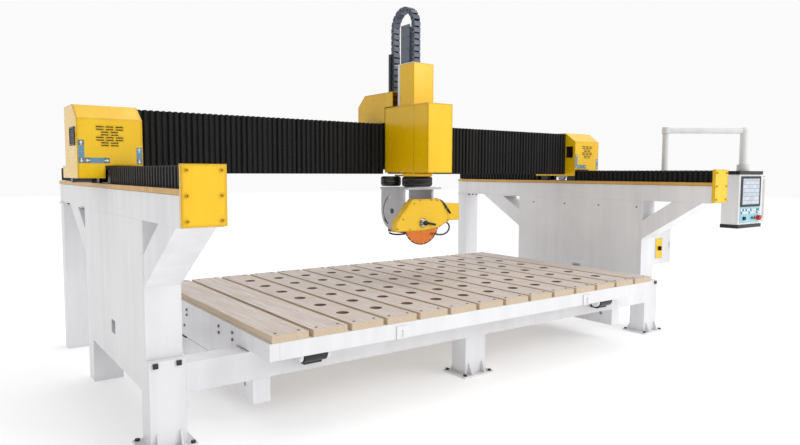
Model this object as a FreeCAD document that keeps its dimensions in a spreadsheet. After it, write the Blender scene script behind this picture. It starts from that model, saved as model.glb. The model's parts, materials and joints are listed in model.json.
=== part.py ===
"""CNC bridge saw for stone slabs, with a tilting slatted table.

Axes: +X to the right seen from the operator's side, +Y towards the back, +Z up.
Origin: centre of the sole of the front middle foot, on the floor.
All lengths are millimetres.
"""
import FreeCAD, Part
import math
import os
import re

doc = FreeCAD.newDocument("bridge_saw")

# ---------------------------------------------------------------- dimensions
DIMS = {
    # table
    "table_long": 3500, "table_deep": 2060, "table_front": -360, "table_top": 600,
    "slat_thick": 42, "slat_count": 14, "slat_gap": 30, "slat_hole": 41,
    "tframe_top": 558, "tframe_bottom": 461, "girder_wide": 60, "girder_low": 310,
    "girder_step": 110, "girder_rear": 1250, "cross_deep": 110, "rib_wide": 50,
    # side frames
    "inner_half": 2102, "frame_wide": 192, "beam_low": 1222, "beam_high": 1368,
    "beam_front": -667, "beam_rear": 2530, "beam_wall": 8,
    "seam": 480, "column_front": -21, "column_deep": 160, "midcol_front": 1350,
    "midcol_rear": 1510, "wall_low": 300, "skin": 4,
    "leg_front": -72, "leg_deep": 150, "rearleg_front": 2392, "rearleg_deep": 138,
    "foot_thick": 14, "base_low": 285, "base_high": 452, "rail_low": 140,
    "base_rail_x": 1670, "base_rail_wide": 108,
    "tray_low": 1370, "tray_high": 1396, "tray_wide": 204, "tray_sheet": 4,
    "cap_wide": 204, "cap_low": 1228, "cap_high": 1506, "cap_thick": 26,
    "way_x": 2198, "way_rail_half": 46, "way_rail_wide": 22, "way_rail_high": 26,
    # bridge
    "cover_in": 2084, "cover_out": 2458, "cover_front": 747, "cover_rear": 1147,
    "cover_low": 1506, "cover_high": 1877, "skirt_low": 1430, "base_rear": 1257,
    "sheet": 3, "plate_low": 1482, "plate_thick": 20,
    "bridge_front": 940, "bridge_deep": 200, "bridge_low": 1504, "bridge_high": 1800,
    "bridge_half": 2430, "bellows_front": 860, "bellows_rear": 1156, "bellows_low": 1460,
    "bellows_high": 1868, "bellows_wall": 9, "way_bellows_top": 1500,
    # head
    "head_x": -52, "head_half": 118, "head_front": 286, "head_low": 1470,
    "head_high": 1990, "ram_half": 97, "ram_front": 493, "ram_deep": 178,
    "ram_low": 1466, "ram_high": 2312, "axis_y": 570, "tilt_y": 703, "tilt_z": 1166,
    "blade_y": 511, "blade_z": 1078, "blade_radius": 175, "core_radius": 164,
    # drives
    "gear_module": 5, "way_teeth": 20, "cross_teeth": 12, "gear_wide": 22,
    # tilt gear of the table
    "hinge_y": -145, "hinge_z": 400, "hinge_pin": 20,
    "cyl_y": 590, "cyl_z": 212, "eye_y": 170, "eye_z": 352, "cyl_radius": 38,
    # operator's side
    "post_x": 2500, "post_y": 18, "arm_z": 1876, "tube_radius": 29, "arm_long": 747,
    "box_wide": 440, "box_deep": 160, "box_low": 962, "box_high": 1498,
}
sheet = doc.addObject("Spreadsheet::Sheet", "dims")
for row, (alias, value) in enumerate(DIMS.items(), start=1):
    sheet.set(f"A{row}", alias)
    sheet.set(f"B{row}", str(value))
    sheet.setAlias(f"B{row}", alias)
doc.recompute()

WORD = re.compile(r"[a-z_]+[a-z_0-9]*")
NODES = {}


def bind(obj, prop, rule):
    """Drive a property by a rule written with the sheet's alias words."""
    text = WORD.sub(lambda m: "dims." + m.group(0) if m.group(0) in DIMS else m.group(0), str(rule))
    obj.setExpression(prop, text)


def block(name, x, y, z):
    """Box given by (start, size) along each axis."""
    obj = doc.addObject("Part::Box", name)
    for prop, span in zip(("Length", "Width", "Height"), (x, y, z)):
        bind(obj, prop, span[1])
    for axis, span in zip("xyz", (x, y, z)):
        bind(obj, "Placement.Base." + axis, span[0])
    return obj


TURN = {
    "x": FreeCAD.Rotation(FreeCAD.Vector(0, 1, 0), 90),
    "y": FreeCAD.Rotation(FreeCAD.Vector(1, 0, 0), -90),
    "z": FreeCAD.Rotation(),
}


def rod(name, radius, length, at, axis="z"):
    """Cylinder from a start point along +X, +Y or +Z."""
    obj = doc.addObject("Part::Cylinder", name)
    obj.Placement = FreeCAD.Placement(FreeCAD.Vector(), TURN[axis])
    bind(obj, "Radius", radius)
    bind(obj, "Height", length)
    for letter, rule in zip("xyz", at):
        bind(obj, "Placement.Base." + letter, rule)
    return obj


def ball(name, radius, at):
    """Rounded elbow or knob end."""
    obj = doc.addObject("Part::Sphere", name)
    bind(obj, "Radius", radius)
    for letter, rule in zip("xyz", at):
        bind(obj, "Placement.Base." + letter, rule)
    return obj


def hexbolt(name, size, length, at, axis="z"):
    """Hexagonal head, across-corners radius `size`, from a start point along an axis."""
    obj = doc.addObject("Part::Prism", name)
    obj.Polygon = 6
    obj.Placement = FreeCAD.Placement(FreeCAD.Vector(), TURN[axis])
    obj.Circumradius = size
    obj.Height = length
    for letter, rule in zip("xyz", at):
        bind(obj, "Placement.Base." + letter, rule)
    return obj


def joined(name, parts):
    """Parts of one welded or bolted piece; touching ones become one solid."""
    if len(parts) == 1:
        return parts[0]
    obj = doc.addObject("Part::MultiFuse", name)
    obj.Shapes = parts
    return obj


def cut(name, base, tools):
    obj = doc.addObject("Part::Cut", name)
    obj.Base = base
    obj.Tool = joined(name + "_tools", tools)
    return obj


def mirrored(name, source):
    """The same piece on the other side of the machine's middle plane."""
    obj = doc.addObject("Part::Mirroring", name)
    obj.Source = source
    obj.Base = FreeCAD.Vector(0, 0, 0)
    obj.Normal = FreeCAD.Vector(1, 0, 0)
    return obj


def both_sides(name, source):
    obj = doc.addObject("Part::Compound", name)
    obj.Links = [source, mirrored(name + "_mirror", source)]
    return obj


def group(name, parts):
    """Separate solids that share one name, such as a set of equal screws."""
    obj = doc.addObject("Part::Compound", name)
    obj.Links = parts
    return obj


def node(label, obj):
    obj.Label = label
    NODES[label] = obj
    return obj


def origin_plane(body, role):
    return next(f for f in body.Origin.OriginFeatures if f.Role == role)


def sketch_in(body, name, role, loops):
    """Sketch of closed polygons [(a, b), ...] and circles (a, b, radius) on an origin plane."""
    sk = body.newObject("Sketcher::SketchObject", name)
    sk.AttachmentSupport = (origin_plane(body, role), [""])
    sk.MapMode = "FlatFace"
    for loop in loops:
        if isinstance(loop, tuple):
            centre = FreeCAD.Vector(loop[0], loop[1], 0)
            sk.addGeometry(Part.Circle(centre, FreeCAD.Vector(0, 0, 1), loop[2]), False)
            continue
        corners = [FreeCAD.Vector(a, b, 0) for a, b in loop]
        for start, end in zip(corners, corners[1:] + corners[:1]):
            sk.addGeometry(Part.LineSegment(start, end), False)
    return sk


def prism(name, role, loops, length, at):
    """Body padded from a sketch. YZ_Plane pads to +X, XZ_Plane to -Y, XY_Plane to +Z."""
    body = doc.addObject("PartDesign::Body", name)
    sk = sketch_in(body, name + "_sketch", role, loops)
    pad = body.newObject("PartDesign::Pad", name + "_pad")
    pad.Profile = sk
    bind(pad, "Length", length)
    for letter, rule in zip("xyz", at):
        bind(body, "Placement.Base." + letter, rule)
    return body


def arc(cx, cy, radius, start, end, steps):
    """Points on an arc between two angles in degrees."""
    turns = [math.radians(start + (end - start) * i / steps) for i in range(steps + 1)]
    return [(cx + radius * math.cos(a), cy + radius * math.sin(a)) for a in turns]


D = DIMS

# ------------------------------------------------------------- side frames
# Each helper below builds the right-hand piece; both_sides adds the left one.
beam = cut(
    "beam_tube",
    block("beam_body", ("inner_half", "frame_wide"), ("beam_front", "beam_rear - beam_front"),
          ("beam_low", "beam_high - beam_low")),
    [block("beam_hollow", ("inner_half + beam_wall", "frame_wide - 2 * beam_wall"),
           ("beam_front - 1", "beam_rear - beam_front + 2"),
           ("beam_low + beam_wall", "beam_high - beam_low - 2 * beam_wall"))])
node("frame_beams", both_sides("frame_beams", beam))

column = block("wall_column", ("inner_half + skin", "frame_wide - 2 * skin"),
               ("column_front + 1", "column_deep"), ("seam", "beam_low - seam - 0.3"))
mid_column = block("wall_mid_column", ("inner_half + skin", "frame_wide - 2 * skin"),
                   ("midcol_front", "midcol_rear - midcol_front"),
                   ("wall_low + 0.3", "beam_low - wall_low - 0.6"))
front_edge = block("wall_front_face", ("inner_half", "frame_wide"), ("column_front", "24"),
                   ("seam", "beam_low - seam - 0.3"))
skin_in = block("wall_skin_in", ("inner_half", "skin"), ("4", "midcol_rear - 4"),
                ("wall_low + 0.3", "beam_low - wall_low - 0.6"))
skin_out = block("wall_skin_out", ("inner_half + frame_wide - skin", "skin"),
                 ("4", "midcol_rear - 4"), ("wall_low + 0.3", "beam_low - wall_low - 0.6"))
wall = cut(
    "wall_panel",
    joined("wall_body", [column, mid_column, front_edge, skin_in, skin_out]),
    [block("wall_slot", ("inner_half - 1", "frame_wide + 2"), ("665", "100"), ("478", "83")),
     block("wall_leg_notch", ("inner_half - 1", "frame_wide + 2"), ("leg_front", "leg_deep + 0.3"),
           ("wall_low", "seam - wall_low"))])
node("frame_walls", both_sides("frame_walls", wall))

front_brace = prism("front_brace", "YZ_Plane", [[
    (-585, D["beam_low"] - 0.3), (-310, D["beam_low"] - 0.3),
    (D["column_front"] - 0.3, 1042), (D["column_front"] - 0.3, 870)]],
    "frame_wide - 2", ("inner_half + 1", "0", "0"))
rear_brace = prism("rear_brace", "YZ_Plane", [[
    (2080, D["beam_low"] - 0.3), (1782, D["beam_low"] - 0.3),
    (D["midcol_rear"] + 0.3, 1064), (D["midcol_rear"] + 0.3, 890)]],
    "frame_wide - 2", ("inner_half + 1", "0", "0"))
brace_plate = block("brace_plate", ("inner_half + 1", "frame_wide - 2"), ("1640", "150"),
                    ("beam_low - 12.3", "12"))
braces = joined("brace_pair", [front_brace, rear_brace, brace_plate])
node("frame_braces", both_sides("frame_braces", braces))

front_leg = block("front_leg", ("inner_half", "frame_wide"), ("leg_front", "leg_deep"),
                  ("foot_thick", "seam - foot_thick - 0.3"))
mid_leg = block("mid_leg", ("inner_half", "frame_wide"), ("midcol_front", "midcol_rear - midcol_front"),
                ("foot_thick", "wall_low - foot_thick"))
rear_leg = block("rear_leg", ("inner_half", "frame_wide"), ("rearleg_front", "rearleg_deep"),
                 ("foot_thick", "beam_low - foot_thick - 20"))
rear_flange = block("rear_leg_flange", ("inner_half - 10", "frame_wide + 20"),
                    ("rearleg_front - 12", "rearleg_deep + 12"), ("beam_low - 20", "19.7"))
legs = group("leg_set", [front_leg, mid_leg, joined("rear_leg_post", [rear_leg, rear_flange])])
node("frame_legs", both_sides("frame_legs", legs))

# ------------------------------------------------------------- base under the table
base_beam = block("base_beam", ("-inner_half + 0.3", "2 * inner_half - 0.6"), ("leg_front", "leg_deep"),
                  ("base_low", "base_high - base_low"))
base_leg = block("base_leg", ("-frame_wide / 2", "frame_wide"), ("leg_front", "leg_deep"),
                 ("foot_thick", "base_low - foot_thick"))
node("front_base_beam", joined("front_base_beam", [base_beam, base_leg]))
rear_beam = block("rear_base_beam", ("-inner_half + 0.3", "2 * inner_half - 0.6"),
                  ("midcol_front + 10", "140"), ("rail_low", "base_low - rail_low"))
base_rail = cut(
    "base_rail",
    block("base_rail_body", ("base_rail_x - base_rail_wide / 2", "base_rail_wide"),
          ("leg_front", "midcol_front + 9.7 - leg_front"), ("rail_low", "base_low - rail_low - 0.3")),
    [rod("base_rail_hole", "16", "base_rail_wide + 4",
         ("base_rail_x - base_rail_wide / 2 - 2", "45", "rail_low + 92"), "x")])
node("base_rails", group("base_rails", [both_sides("base_rail_pair", base_rail), rear_beam]))


def foot(name, x, y, wide, deep):
    """Sole plate with four triangular gussets around a leg's lower end."""
    parts = [block(name + "_sole", (f"{x} - {wide} / 2 - 45", f"{wide} + 90"),
                   (f"{y} - {deep} / 2 - 45", f"{deep} + 90"), ("0", "foot_thick - 0.3"))]
    for k, shift in enumerate((-0.32, 0.32)):
        for tag, sign in (("front", -1), ("back", 1)):
            profile = [(0, 0), (sign * 40, 0), (sign * 40, 10), (sign * 6, 78), (0, 78)]
            parts.append(prism(f"{name}_gusset_{tag}{k}", "YZ_Plane", [profile], "10",
                               (f"{x} + {shift} * {wide} - 5",
                                f"{y} + {sign} * ({deep} / 2 + 0.3)", "foot_thick - 0.3")))
    return joined(name, parts)


LEG_PLACES = {
    "front": ("leg_front + leg_deep / 2", "leg_deep"),
    "middle": ("(midcol_front + midcol_rear) / 2", "(midcol_rear - midcol_front)"),
    "rear": ("rearleg_front + rearleg_deep / 2", "rearleg_deep"),
}
side_feet = [foot("foot_front", "(inner_half + frame_wide / 2)", LEG_PLACES["front"][0],
                  "frame_wide", "leg_deep")]
side_feet += [block(f"foot_{k}_sole", ("inner_half", "frame_wide"), (f"{y} - {deep} / 2", deep), ("0", "foot_thick - 0.3"))
              for k, (y, deep) in LEG_PLACES.items() if k != "front"]
centre_foot = foot("foot_centre", "0", "(leg_front + leg_deep / 2)", "frame_wide", "leg_deep")
node("leg_feet", group("leg_feet", [both_sides("side_feet", group("side_feet_right", side_feet)),
                                    centre_foot]))

anchors = []
for j, sx in enumerate((-1, 1)):
    for i, sy in enumerate((-1, 1)):
        at = (f"inner_half + frame_wide / 2 + {sx} * (frame_wide / 2 + 24)",
              f"leg_front + leg_deep / 2 + {sy} * (leg_deep / 2 + 24)", "foot_thick")
        anchors.append(hexbolt(f"anchor{j}{i}", 14, 11, at))
centre_anchors = [hexbolt(f"anchor_centre{j}{i}", 14, 11,
                          (f"{sx} * (frame_wide / 2 + 24)",
                           f"leg_front + leg_deep / 2 + {sy} * (leg_deep / 2 + 24)", "foot_thick"))
                  for j, sx in enumerate((-1, 1)) for i, sy in enumerate((-1, 1))]

clamps = []
for k, x in enumerate(("inner_half + 24", "inner_half + frame_wide - 46")):
    clamps.append(block(f"seam_clamp{k}", (x, "26"), ("leg_front - 12.3", "12"), ("seam - 34", "26")))
for k in range(3):
    clamps.append(hexbolt(f"leg_bolt{k}", 11, 9,
                          (f"inner_half + 36 + {60 * k}", "rearleg_front - 12.3 - 9", "beam_low - 10"), "y"))
for k in range(4):
    y_at = 40 + 420 * k
    clamps.append(hexbolt(f"panel_bolt{k}", 7, 5, ("inner_half - 5.3", f"{y_at}", "beam_low - 60"), "x"))
cap_screws = [rod(f"cap_screw{i}{j}", "7", "4",
                  (f"way_x + {sx} * 78", "beam_front - cap_thick - 4.6", f"cap_low + {z}"), "y")
              for i, sx in enumerate((-1, 1)) for j, z in enumerate((26, 138, 250))]
node("frame_bolts", group("frame_bolts", [
    both_sides("frame_bolt_pair", group("frame_bolts_right", clamps + anchors + cap_screws)),
    group("centre_anchors", centre_anchors)]))

# ------------------------------------------------------------- ways on the side frames
tray = cut(
    "tray_sheet_metal",
    block("tray_body", ("way_x - tray_wide / 2", "tray_wide"), ("beam_front + 0.3", "beam_rear - beam_front"),
          ("tray_low", "tray_high - tray_low")),
    [block("tray_hollow", ("way_x - tray_wide / 2 + tray_sheet", "tray_wide - 2 * tray_sheet"),
           ("beam_front - 2", "beam_rear - beam_front + 6"), ("tray_low + tray_sheet", "40"))])
node("rail_trays", both_sides("rail_trays", tray))

way_rails = group("way_rails_right", [
    block(f"way_rail{k}", (f"way_x + {sx} * way_rail_half - way_rail_wide / 2", "way_rail_wide"),
          ("beam_front + 30", "beam_rear - beam_front - 50"), ("tray_low + tray_sheet + 0.3", "way_rail_high"))
    for k, sx in enumerate((-1, 1))])
node("way_rails", both_sides("way_rails", way_rails))

MODULE = D["gear_module"]
PITCH = math.pi * MODULE
HALF_TOOTH = 0.21 * PITCH


def rack_profile(length, back, phase):
    """Straight rack: trapezoid teeth above the pitch line at height 0, flat back below it."""
    count = int(length / PITCH) - 1
    points = [(0, -back)]
    for k in range(count):
        mid = phase + PITCH * (k + 0.5)
        points += [(mid - HALF_TOOTH - 1.9, -1.25 * MODULE), (mid - HALF_TOOTH + 1.5, 0.8 * MODULE),
                   (mid + HALF_TOOTH - 1.5, 0.8 * MODULE), (mid + HALF_TOOTH + 1.9, -1.25 * MODULE)]
    return points + [(length, -back)]


def gear_profile(teeth, turn):
    """Spur gear outline with trapezoid teeth and running clearance; `turn` in degrees."""
    radius = MODULE * teeth / 2
    points = []
    for k in range(teeth):
        mid = math.radians(turn) + 2 * math.pi * k / teeth
        for half, reach in ((HALF_TOOTH + 1.0, -1.2), (HALF_TOOTH - 1.6, 0.8),
                            (HALF_TOOTH - 1.6, 0.8), (HALF_TOOTH + 1.0, -1.2)):
            side = -1 if len(points) % 4 < 2 else 1
            r = radius + reach * MODULE
            points.append((r * math.cos(mid + side * half / radius), r * math.sin(mid + side * half / radius)))
    return points


WAY_RACK_Y = D["beam_front"] + 60
WAY_RACK_LONG = D["beam_rear"] - D["beam_front"] - 110
WAY_PINION_Y = 1000
WAY_RADIUS = MODULE * D["way_teeth"] / 2
WAY_PITCH_Z = D["tray_low"] + D["tray_sheet"] + 22
# A tooth gap of the rack lies exactly under the pinion's lowest tooth.
rack_phase = (WAY_PINION_Y - WAY_RACK_Y) % PITCH
way_rack = prism("way_rack", "YZ_Plane", [rack_profile(WAY_RACK_LONG, 21.5, rack_phase)], "gear_wide",
                 ("way_x - gear_wide / 2", f"{WAY_RACK_Y}", f"{WAY_PITCH_Z}"))
node("way_racks", both_sides("way_racks", way_rack))


def rail_bellows(name, start, end):
    """Folding cover over a way: an inverted U between a fixed end and the carriage."""
    shell = cut(
        name,
        block(name + "_skin", ("way_x - 88", "176"), (start, f"{end} - ({start})"),
              ("tray_high + 2", "way_bellows_top - tray_high - 2")),
        [block(name + "_space", ("way_x - 88 + bellows_wall", "176 - 2 * bellows_wall"),
               (f"{start} - 1", f"{end} - ({start}) + 2"), ("tray_high", "way_bellows_top - tray_high - 8"))])
    return both_sides(name + "_pair", shell)


node("front_rail_bellows", rail_bellows("front_rail_bellows", "beam_front + 2", "cover_front - 2"))
node("rear_rail_bellows", rail_bellows("rear_rail_bellows", "base_rear + 2", "beam_rear - 4"))

cap = cut(
    "beam_cap",
    block("beam_cap_body", ("way_x - cap_wide / 2", "cap_wide"), ("beam_front - cap_thick - 0.3", "cap_thick"),
          ("cap_low", "cap_high - cap_low")),
    [block("beam_cap_hollow", ("way_x - cap_wide / 2 + sheet", "cap_wide - 2 * sheet"),
           ("beam_front - cap_thick + sheet - 0.3", "cap_thick"), ("cap_low + sheet", "cap_high - cap_low - 2 * sheet"))])
node("beam_caps", both_sides("beam_caps", cap))

# ------------------------------------------------------------- tilting table
girder = prism("girder", "YZ_Plane", [[
    (D["table_front"] + 0.3, D["tframe_bottom"]), (D["girder_step"] - 18, D["tframe_bottom"]),
    (D["girder_step"], D["tframe_bottom"] - 20), (D["girder_step"] + 40, 372), (420, D["girder_low"]),
    (D["girder_rear"], D["girder_low"]), (D["table_front"] + D["table_deep"] - 0.3, 430),
    (D["table_front"] + D["table_deep"] - 0.3, D["tframe_top"] - 0.3),
    (D["table_front"] + 0.3, D["tframe_top"] - 0.3)]],
    "girder_wide", ("table_long / 2 - girder_wide", "0", "0"))
node("table_girders", both_sides("table_girders", girder))

CROSS_Y = {"front": "table_front", "rear": "table_front + table_deep - cross_deep"}
cross_beams = [block("cross_" + k, ("-table_long / 2 + girder_wide + 0.3", "table_long - 2 * girder_wide - 0.6"),
                     (y, "cross_deep"), ("tframe_bottom", "tframe_top - tframe_bottom - 0.3"))
               for k, y in CROSS_Y.items()]
cross_beams += [block(f"cross_mid{k}", ("-table_long / 2 + girder_wide + 0.3", "table_long - 2 * girder_wide - 0.6"),
                      (f"{y}", "80"), ("girder_low + 20", "100")) for k, y in enumerate((430, 1010))]
RIB_COUNT = 7
ribs = []
for k in range(RIB_COUNT):
    x = (k - (RIB_COUNT - 1) / 2) * 480
    ribs.append(block(f"rib{k}", (f"{x} - rib_wide / 2", "rib_wide"),
                      ("table_front + cross_deep + 0.3", "table_deep - 2 * cross_deep - 0.6"),
                      ("tframe_bottom", "tframe_top - tframe_bottom - 0.3")))
node("table_cross_frame", group("table_cross_frame", cross_beams + ribs))

slat_pitch = D["table_long"] / D["slat_count"]
slats = []
holes = []
for k in range(D["slat_count"]):
    x = -D["table_long"] / 2 + slat_pitch * k
    slats.append(block(f"slat{k}", (f"{x} + slat_gap / 2", f"{slat_pitch} - slat_gap"),
                       ("table_front", "table_deep"), ("tframe_top", "slat_thick")))
    if 1 < k < D["slat_count"] - 1:
        for j in range(6):
            holes.append(rod(f"slat_hole{k}{j}", "slat_hole", "slat_thick + 2",
                             (f"{x + slat_pitch * 0.5}", f"table_front + {290 + 287 * j}", "tframe_top - 1")))
node("table_slats", cut("table_slats", group("slat_boards", slats), holes))
screws = []
for k in range(D["slat_count"]):
    for i, dx in enumerate((0.22, 0.78)):
        for j, y in enumerate(("table_front + 45", "table_front + table_deep - 45")):
            screws.append(rod(f"slat_screw{k}{i}{j}", "8", "3",
                              (f"{-D['table_long'] / 2 + slat_pitch * (k + dx)}", y, "table_top + 0.3")))
node("slat_screws", group("slat_screws", screws))

HINGE_X = (-1375, 1375)
lugs = []
pins = []
brackets = []
for k, x in enumerate(HINGE_X):
    for j, side in enumerate((-1, 1)):
        lugs.append(joined(f"lug{k}{j}", [
            block(f"lug_plate{k}{j}", (f"{x} + {side} * 92 - 11", "22"), ("hinge_y - 32", "64"),
                  ("hinge_z", "tframe_bottom - hinge_z - 0.3")),
            rod(f"lug_eye{k}{j}", "40", "22", (f"{x} + {side} * 92 - 11", "hinge_y", "hinge_z"), "x")]))
    pins.append(rod(f"hinge_pin{k}", "hinge_pin", "212", (f"{x} - 106", "hinge_y", "hinge_z"), "x"))
    barrel = cut(f"bracket{k}", joined(f"bracket_body{k}", [
        rod(f"bracket_barrel{k}", "46", "150", (f"{x} - 75", "hinge_y", "hinge_z"), "x"),
        block(f"bracket_web{k}", (f"{x} - 60", "120"), ("hinge_y", "leg_front - hinge_y - 0.3"),
              ("hinge_z - 60", "90"))]),
        [rod(f"bracket_bore{k}", "hinge_pin + 0.06", "160", (f"{x} - 80", "hinge_y", "hinge_z"), "x")])
    brackets.append(barrel)
plates = [joined(f"face_plate{k}", [
    block(f"face_plate_sheet{k}", (f"{x} - 40", "80"), ("table_front - 8.3", "8"), ("tframe_bottom", "78")),
    hexbolt(f"face_bolt_low{k}", 9, 8, (f"{x + 6}", "table_front - 16.3", "tframe_bottom + 20"), "y"),
    hexbolt(f"face_bolt_high{k}", 9, 8, (f"{x + 6}", "table_front - 16.3", "tframe_bottom + 46"), "y")])
    for k, x in enumerate((-880, 885))]
hinge_halves = [joined(f"hinge_half{k}", lugs[2 * k:2 * k + 2] + [pins[k]]) for k in range(len(HINGE_X))]

rest_pad = block("rest_pad", ("table_long / 2 - girder_wide", "48"), ("1090", "120"),
                 ("base_low", "girder_low - base_low - 0.3"))
node("rest_pads", both_sides("rest_pads", rest_pad))

# Lifting cylinders: a barrel swings on the base rail's inner side, its rod lifts a
# bracket under the table.
CYL_X = 1530
reach_y = D["eye_y"] - D["cyl_y"]
reach_z = D["eye_z"] - D["cyl_z"]
closed = math.hypot(reach_y, reach_z)
lean = math.degrees(math.atan2(reach_z, reach_y))
mount = joined("cyl_mount_right", [
    cut(f"cyl_cheek{k}", block(f"cyl_cheek_plate{k}", (f"{CYL_X} + {dx}", "14"), ("cyl_y - 36", "72"),
                               ("rail_low + 20", "110")),
        [rod(f"cyl_cheek_bore{k}", "15.06", "20", (f"{CYL_X} + {dx} - 3", "cyl_y", "cyl_z"), "x")])
    for k, dx in enumerate((-48, 34))] + [
    block("cyl_mount_web", (f"{CYL_X} - 48", f"base_rail_x - base_rail_wide / 2 - {CYL_X} + 47.7"),
          ("cyl_y - 36", "56"), ("rail_low", "20"))])
node("base_brackets", group("base_brackets", [both_sides("cylinder_mounts", mount)] + brackets))

LEAN_TURN = FreeCAD.Rotation(FreeCAD.Vector(1, 0, 0), lean - 90)


def leaning_rod(name, radius, start, length):
    """Cylinder on the lifting line, `start` and `length` measured from the lower pivot."""
    obj = doc.addObject("Part::Cylinder", name)
    along = LEAN_TURN.multVec(FreeCAD.Vector(0, 0, start))
    obj.Placement = FreeCAD.Placement(FreeCAD.Vector(CYL_X, D["cyl_y"] + along.y, D["cyl_z"] + along.z), LEAN_TURN)
    obj.Radius = radius
    obj.Height = length
    return obj


barrel_long = closed - 70
barrel = joined("cyl_barrel_right", [
    cut("barrel_tube", joined("barrel_solid", [
        leaning_rod("barrel_shell", D["cyl_radius"], 60, barrel_long - 60),
        leaning_rod("barrel_gland", D["cyl_radius"] + 6, barrel_long - 30, 30),
        leaning_rod("barrel_tang", 24, 0, 70)]),
        [leaning_rod("barrel_space", 16.06, 60, barrel_long)]),
    rod("barrel_trunnion", "15", "92", (f"{CYL_X} - 46", "cyl_y", "cyl_z"), "x")])
node("cylinder_barrels", both_sides("cylinder_barrels", barrel))
piston = cut("cyl_rod_right", joined("cyl_rod_body", [
    leaning_rod("cyl_rod_shaft", 16, 70, closed - 70),
    rod("cyl_rod_eye", "34", "44", (f"{CYL_X} - 22", "eye_y", "eye_z"), "x")]),
    [rod("cyl_rod_bore", "23", "50", (f"{CYL_X} - 25", "eye_y", "eye_z"), "x")])
node("cylinder_rods", both_sides("cylinder_rods", piston))
lift_pin = joined("lift_bracket_right", [
    rod("lift_pin", "15", "96", (f"{CYL_X} - 48", "eye_y", "eye_z"), "x")] + [
    block(f"lift_cheek{k}", (f"{CYL_X} + {dx}", "16"), ("eye_y - 26", "52"), ("eye_z - 22", "128"))
    for k, dx in enumerate((-44, 28))] + [
    block("lift_plate", (f"{CYL_X} - 60", f"table_long / 2 - girder_wide - {CYL_X} + 59.7"),
          ("eye_y - 26", "52"), ("eye_z + 86", "20"))])
node("table_brackets", group("table_brackets", [both_sides("lift_brackets", lift_pin)] + hinge_halves + plates))

# ------------------------------------------------------------- travelling bridge
def shell_box(name, x, y, z, wall):
    """Thin-walled box open underneath, given by (start, end) numbers along each axis."""
    outer = block(name + "_out", (x[0], f"{x[1]} - ({x[0]})"), (y[0], f"{y[1]} - ({y[0]})"),
                  (z[0], f"{z[1]} - ({z[0]})"))
    inner = block(name + "_in", (f"{x[0]} + {wall}", f"{x[1]} - ({x[0]}) - 2 * {wall}"),
                  (f"{y[0]} + {wall}", f"{y[1]} - ({y[0]}) - 2 * {wall}"),
                  (f"{z[0]} - 5", f"{z[1]} - ({z[0]}) - {wall} + 5"))
    return cut(name, outer, [inner])


node("bridge_beam", cut(
    "bridge_beam",
    block("bridge_body", ("-bridge_half", "2 * bridge_half"), ("bridge_front", "bridge_deep"),
          ("bridge_low", "bridge_high - bridge_low")),
    [block("bridge_hollow", ("-bridge_half - 1", "2 * bridge_half + 2"), ("bridge_front + 10", "bridge_deep - 20"),
           ("bridge_low + 10", "bridge_high - bridge_low - 20"))]))

chamfer = 126
cover_side = [(D["cover_front"], D["cover_low"]), (D["cover_front"], 1788),
              (D["cover_front"] + chamfer, D["cover_high"]), (D["cover_rear"], D["cover_high"]),
              (D["cover_rear"], D["cover_low"])]
s = D["sheet"]
hollow_side = [(D["cover_front"] + s, D["cover_low"] - 5), (D["cover_front"] + s, 1787),
               (D["cover_front"] + chamfer + 1, D["cover_high"] - s), (D["cover_rear"] - s, D["cover_high"] - s),
               (D["cover_rear"] - s, D["cover_low"] - 5)]
cover = cut("carriage_hood", prism("hood_out", "YZ_Plane", [cover_side], "cover_out - cover_in", ("cover_in", "0", "0")), [
    prism("hood_in", "YZ_Plane", [hollow_side], "cover_out - cover_in - 2 * sheet", ("cover_in + sheet", "0", "0")),
    block("hood_gap", ("cover_in - 1", "12"), ("bridge_front - 40", "bridge_deep + 50"),
          ("cover_low - 1", "bridge_high - cover_low + 20"))] + [
    block(f"vent{i}{j}", (f"cover_out - {150 + 55 * j + 27 * (i // 2 % 2)}", "42"), ("cover_front - 1", "8"),
          (f"1737 - {16 * i}", "6"))
    for i in range(8) for j in range(3 - i // 2 % 2)])
skirt = cut("carriage_skirt", block("skirt_out", ("cover_out - 154", "154"), ("cover_front", "base_rear - cover_front"),
                                    ("skirt_low", "cover_low - skirt_low")),
            [block("skirt_in", ("cover_out - 155", "155 - sheet"),
                   ("cover_front + sheet", "base_rear - cover_front - 2 * sheet"), ("skirt_low - 5", "120"))])
ledge = block("skirt_ledge", ("cover_in + 6.3", "cover_out - cover_in - 6.3"), ("cover_rear - sheet", "base_rear - cover_rear + sheet"),
              ("cover_low - sheet", "sheet"))
inner_skirt = cut("inner_skirt", block("inner_skirt_sheet", ("cover_in", "6"),
                                       ("cover_front", "base_rear - cover_front"), ("cover_low - 62", "62")),
                  [block("inner_skirt_notch", ("cover_in - 1", "8"), ("bridge_front - 0.4", "bridge_deep + 0.8"),
                         ("bridge_low - 0.4", "10"))])
node("carriage_covers", both_sides("carriage_covers", joined("carriage_cover", [cover, skirt, ledge, inner_skirt])))

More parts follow.
